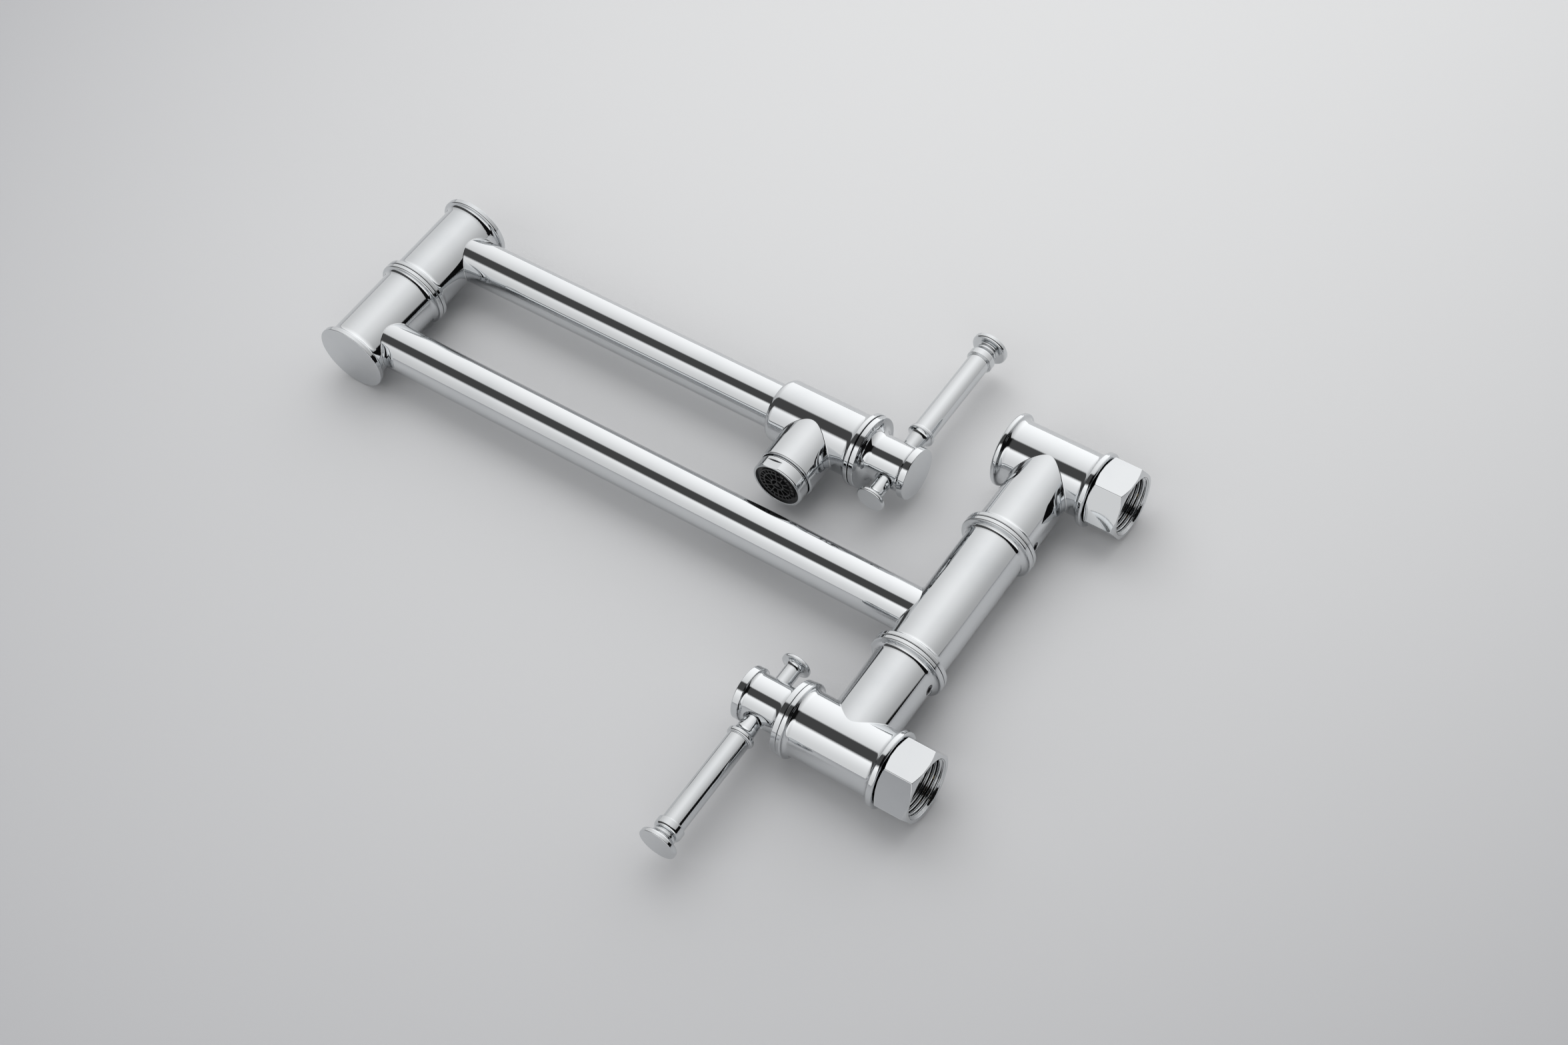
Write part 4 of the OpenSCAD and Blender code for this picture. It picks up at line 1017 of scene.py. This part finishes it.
def makeAeratorRing():
    shell = Shell()
    top = upperArmZ - span("spout_body", 2)[0]
    end = upperArmZ - span("aerator_ring", 2)[0]
    axis = Axis((0, spoutY, upperArmZ), -toZ, toX)
    outR, edge = aerator["ringR"], aerator["edge"]
    innerR, innerEdge = aerator["innerR"], aerator["innerEdge"]
    threadAt, grooveAt = top - aerator["threadH"], top + aerator["groove"]
    ledge = end - aerator["flatH"]
    ring = Outline(innerR, threadAt)
    ring.path((aerator["neckR"], threadAt), (aerator["neckR"], grooveAt), (outR - edge, grooveAt))
    ring.arc(outR - edge, grooveAt + edge, 90)
    ring.line(outR, ledge)
    ring.gather([(outR, ledge, 0, 1)] * 2, "ledge")
    ring.line(outR, end - edge, wall="flat")
    ring.arc(outR - edge, end - edge, 90, wall="flat")
    ring.line(innerR + innerEdge, end, wall="flat")
    ring.arc(innerR + innerEdge, end - innerEdge, 90)
    ring.line(innerR, threadAt)
    flatR = outR - aerator["flatDepth"]
    reach = acos(flatR / outR)

    def cut(angle, middleAngle, point):
        # a corner pulled back to the wrench flat where it would stand proud of it
        limit = flatR / cos(angle - middleAngle)
        if point[0] <= limit:
            return axis.corner(angle, point)
        return axis.corner(angle, (limit,) + point[1:])[0], axis.out(middleAngle)

    for side in (0, pi):
        facing = side + radians(aerator["flatTurn"])
        flatPart = (facing - reach, facing + reach, aerator["flatColumns"], True)
        roundPart = (facing + reach, facing + pi - reach, aerator["roundColumns"], False)
        for first, last, columns, flat in (flatPart, roundPart):
            angles = [first + (last - first) * i / columns for i in range(columns + 1)]
            for low, high, wall, _ in ring.strips:
                lower, upper = [[axis.corner(a, point) for a in angles] for point in (low, high)]
                if flat and wall == "flat":
                    lower = [cut(a, facing, low) for a in angles]
                if flat and wall in ("flat", "ledge"):
                    upper = [cut(a, facing, high) for a in angles]
                if flat and wall == "ledge":
                    upper = [(point, axis.along) for point, _ in upper]
                shell.strip(lower, upper, skip={columns})
    shell.piece("aerator_ring_skin", "upper_arm", ["aerator_ring"])


def addLoop(curve, points):
    # a closed outline in a flat curve
    spline = curve.splines.new("POLY")
    spline.points.add(len(points) - 1)
    for corner, (radius, a) in zip(spline.points, points):
        corner.co = (radius * cos(a) * mm, radius * sin(a) * mm, 0, 1)
    spline.use_cyclic_u = True


def slotPoints(inner, outer, start, end):
    # radius and angle round a slot between two rings and two ribs
    points = []
    steps = aerator["slotSteps"]
    for radius, way in ((outer, 1), (inner, -1)):
        inset = asin(aerator["rib"] / 2 / radius)
        first, last = (start + inset, end - inset)[::way]
        points += [(radius, first + (last - first) * i / steps) for i in range(steps + 1)]
    return points


def makeInsert():
    # the ribbed middle comes from a flat curve with its slots as holes, the plain rim is turned
    curve = bpy.data.curves.new("insertOutline", "CURVE")
    curve.dimensions = "2D"
    curve.fill_mode = "BOTH"
    half, count = aerator["wall"] / 2, aerator["rimPoints"]
    outerR = aerator["rowOut"] + half
    addLoop(curve, [(outerR, 2 * pi * i / count) for i in range(count)])
    rows = [(aerator["rowMid"] + half, aerator["rowOut"] - half, aerator["ribCount"]),
            (aerator["rowIn"] + half, aerator["rowMid"] - half, aerator["ribCount"] // 2),
            (aerator["hubR"], aerator["rowIn"] - half, aerator["hubRibs"])]
    for inner, outer, ribs in rows:
        for i in range(ribs):
            addLoop(curve, slotPoints(inner, outer, 2 * pi * i / ribs, 2 * pi * (i + 1) / ribs))
    depth, bevel = aerator["depth"], aerator["bevel"]
    curve.extrude = depth / 2 * mm
    curve.bevel_depth = bevel * mm
    curve.bevel_resolution = 1
    curve.offset = -bevel * mm
    grid = addThing("insertCurve", curve)
    bpy.context.view_layer.update()
    evaluated = grid.evaluated_get(bpy.context.evaluated_depsgraph_get())
    mesh = bpy.data.meshes.new_from_object(evaluated)
    bpy.data.objects.remove(grid)
    shell = Shell()
    axis = Axis((0, spoutY, span("aerator_insert", 2)[0]), -toZ, toX)
    insertR, sink = aerator["insertR"], aerator["rimSink"]
    rim = Outline(outerR - half, -depth)
    rim.path((insertR, -depth), (insertR, -sink), (outerR - half, -sink), (outerR - half, -depth))
    turned(shell, axis, rim)
    offset = axis.origin - axis.along * (depth / 2 + bevel)
    for polygon in mesh.polygons:
        normal = Vector((polygon.normal.x, -polygon.normal.y, -polygon.normal.z))
        corners = []
        for index in polygon.vertices:
            point = mesh.vertices[index].co / mm
            corners.append((offset + Vector((point.x, -point.y, -point.z)), normal))
        shell.face(corners)
    shell.piece("aerator_insert_skin", "upper_arm", ["aerator_insert"], "black_plastic")


makeAeratorRing()
makeInsert()


# CAD nodes that stay in view get their slot's finish

parts = frame["record"]["subparts"]
kept = [part for part in parts if not frame["nodes"][part["node"]].hide_render]
for part in kept:
    mesh = frame["nodes"][part["node"]].data
    mesh.materials.clear()
    mesh.materials.append(finishes[part["material_slot"]])
print("kept CAD nodes:", len(kept))


# Table, studio light and camera

# colour is the table at the bright middle of a painted pool of light and shade is the painted shade away from it;
# centre, fall, far and farShare place and shape the painted pool
tableLook = {
    "x": -17.32, "size": 9, "colour": (0.825, 0.83, 0.836, 1), "shade": (0.48, 0.484, 0.5, 1),
    "centre": (-0.18, 0.7), "fall": (2.49, 0.93), "far": (-1.6, -0.3), "farShare": 0.55,
    "grainScale": 900, "grainDepth": 0.00002, "roughness": 0.55, "spread": 0.1, "gloss": 0.2,
}
tent = {
    "panelEdge": (-0.035, 0.075), "panelLow": 0.8, "panelRise": 0.62,
    "panelCentreY": -0.12, "panelFall": 0.52, "sideEdge": (0.213, -0.434, 0.87), "sideSoft": 0.012,
    "frontEdge": (-0.46, -0.6), "frontLevel": 1.3, "frontFall": 1.4,
    "frontSide": (-0.8, -0.25), "frontSideLevel": 0.45,
    "gapEnd": (0.25, -0.15), "gapLevels": (0.006, 0.075), "backdrop": 0.72,
}
lampLook = {"at": (1.6, -0.75, 0.25), "size": 2, "power": 12, "aim": 4}


def makeTable():
    # it is painted darker away from a bright middle, a painted pool of light, and painted lighter again far out
    # towards -Z; from behind it is clear
    x, size = tableLook["x"] * mm, tableLook["size"]
    mesh = bpy.data.meshes.new("table")
    corners = [(x, -size, -size), (x, size, -size), (x, size, size), (x, -size, size)]
    mesh.from_pydata(corners, [], [(0, 1, 2, 3)])
    table = addThing("table", mesh)
    finish = newFinish("paleTable")
    where = finish.coordinates()
    _, y, z = finish.axes(where)
    fromY, fromZ = y - tableLook["centre"][0], z - tableLook["centre"][1]
    # painted shade that grows away from the middle of the painted pool of light
    paintedShadeMask = fromY * fromY * tableLook["fall"][0] + fromZ * fromZ * tableLook["fall"][1]
    # painted light: far out towards -Z the painted shade eases off again
    paintedShadeMask = paintedShadeMask * finish.between(z, *tableLook["far"], tableLook["farShare"], 1)
    grain = finish.noise(where, tableLook["grainScale"], detail=3)
    body = finish.add("ShaderNodeBsdfPrincipled", inputs={
        "Base Color": finish.blend(paintedShadeMask, tableLook["colour"], tableLook["shade"]),
        "Roughness": tableLook["roughness"] + tableLook["spread"] * grain,
        "Specular IOR Level": tableLook["gloss"],
        "Normal": finish.bump(grain, tableLook["grainDepth"]),
    })
    behind = finish.add("ShaderNodeNewGeometry", out="Backfacing")
    seen = finish.add("ShaderNodeLightPath", out="Is Camera Ray")
    clear = finish.add("ShaderNodeBsdfTransparent")
    mixed = finish.add("ShaderNodeMixShader", inputs={0: behind * seen, 1: body, 2: clear})
    finish.add("ShaderNodeOutputMaterial", inputs={"Surface": mixed})
    mesh.materials.append(finish.owner)


def makeLight():
    # a tent with one wide bright side, a narrower front panel and a dark gap overhead between them
    world = bpy.data.worlds.new("softStudio")
    bpy.context.scene.world = world
    finish = Finish(world)
    x, y, z = finish.axes(finish.add("ShaderNodeTexCoord", out="Generated"))
    fromCentre = y - tent["panelCentreY"]
    panel = tent["panelLow"] + tent["panelRise"] * z
    panel = panel * (1 - tent["panelFall"] * (fromCentre * fromCentre))
    panel = panel * finish.between(z, *tent["panelEdge"])
    sideX, sideY, sideZ = tent["sideEdge"]
    beside = x * sideX + y * sideY + z * sideZ
    panel = panel * finish.between(beside, -tent["sideSoft"], tent["sideSoft"])
    front = tent["frontLevel"] + (z - tent["frontEdge"][1]) * tent["frontFall"]
    front = front * finish.between(z, *tent["frontEdge"])
    front = front * finish.between(y, *tent["frontSide"], tent["frontSideLevel"], 1)
    gap = finish.between(y, *tent["gapEnd"], *tent["gapLevels"])
    seen = finish.add("ShaderNodeLightPath", out="Is Camera Ray")
    strength = (panel + front + gap) * (1 - seen) + seen * tent["backdrop"]
    light = finish.add("ShaderNodeBackground", inputs={"Color": (1, 1, 1, 1), "Strength": strength})
    finish.add("ShaderNodeOutputWorld", inputs={"Surface": light})


def makeLamp():
    # a soft lamp for the table's shadows alone, the chrome mirrors only the tent
    data = bpy.data.lights.new("shadowLamp", "AREA")
    data.size = lampLook["size"]
    data.energy = lampLook["power"]
    lamp = addThing("shadowLamp", data)
    lamp.location = lampLook["at"]
    # it looks at the middle of the arms, a few times as far out as the column
    aim = Vector((0, lampLook["aim"] * columnY * mm, 0)) - lamp.location
    lamp.rotation_euler = aim.to_track_quat("-Z", "Y").to_euler()
    lamp.visible_glossy = False


def makeCamera():
    look = {
        "at": (868.17, 297.64, -401.20), "right": (-0.08435, 0.82137, 0.56413),
        "down": (-0.58454, 0.41770, -0.69558), "forward": (-0.80697, -0.38843, 0.44489),
        "focalPixels": 3807.05, "imageWidth": 2352, "sensor": 36,
    }
    data = bpy.data.cameras.new("photoCamera")
    data.sensor_width = look["sensor"]
    data.lens = look["sensor"] * look["focalPixels"] / look["imageWidth"]
    camera = addThing("photoCamera", data)
    right, up, back = Vector(look["right"]), -Vector(look["down"]), -Vector(look["forward"])
    matrix = Matrix((right, up, back)).transposed().to_4x4()
    matrix.translation = Vector(look["at"]) * mm
    camera.matrix_world = matrix
    bpy.context.scene.camera = camera


makeTable()
makeLight()
makeLamp()
makeCamera()
bpy.context.scene.view_settings.view_transform = "Standard"
print("table, light and camera set")
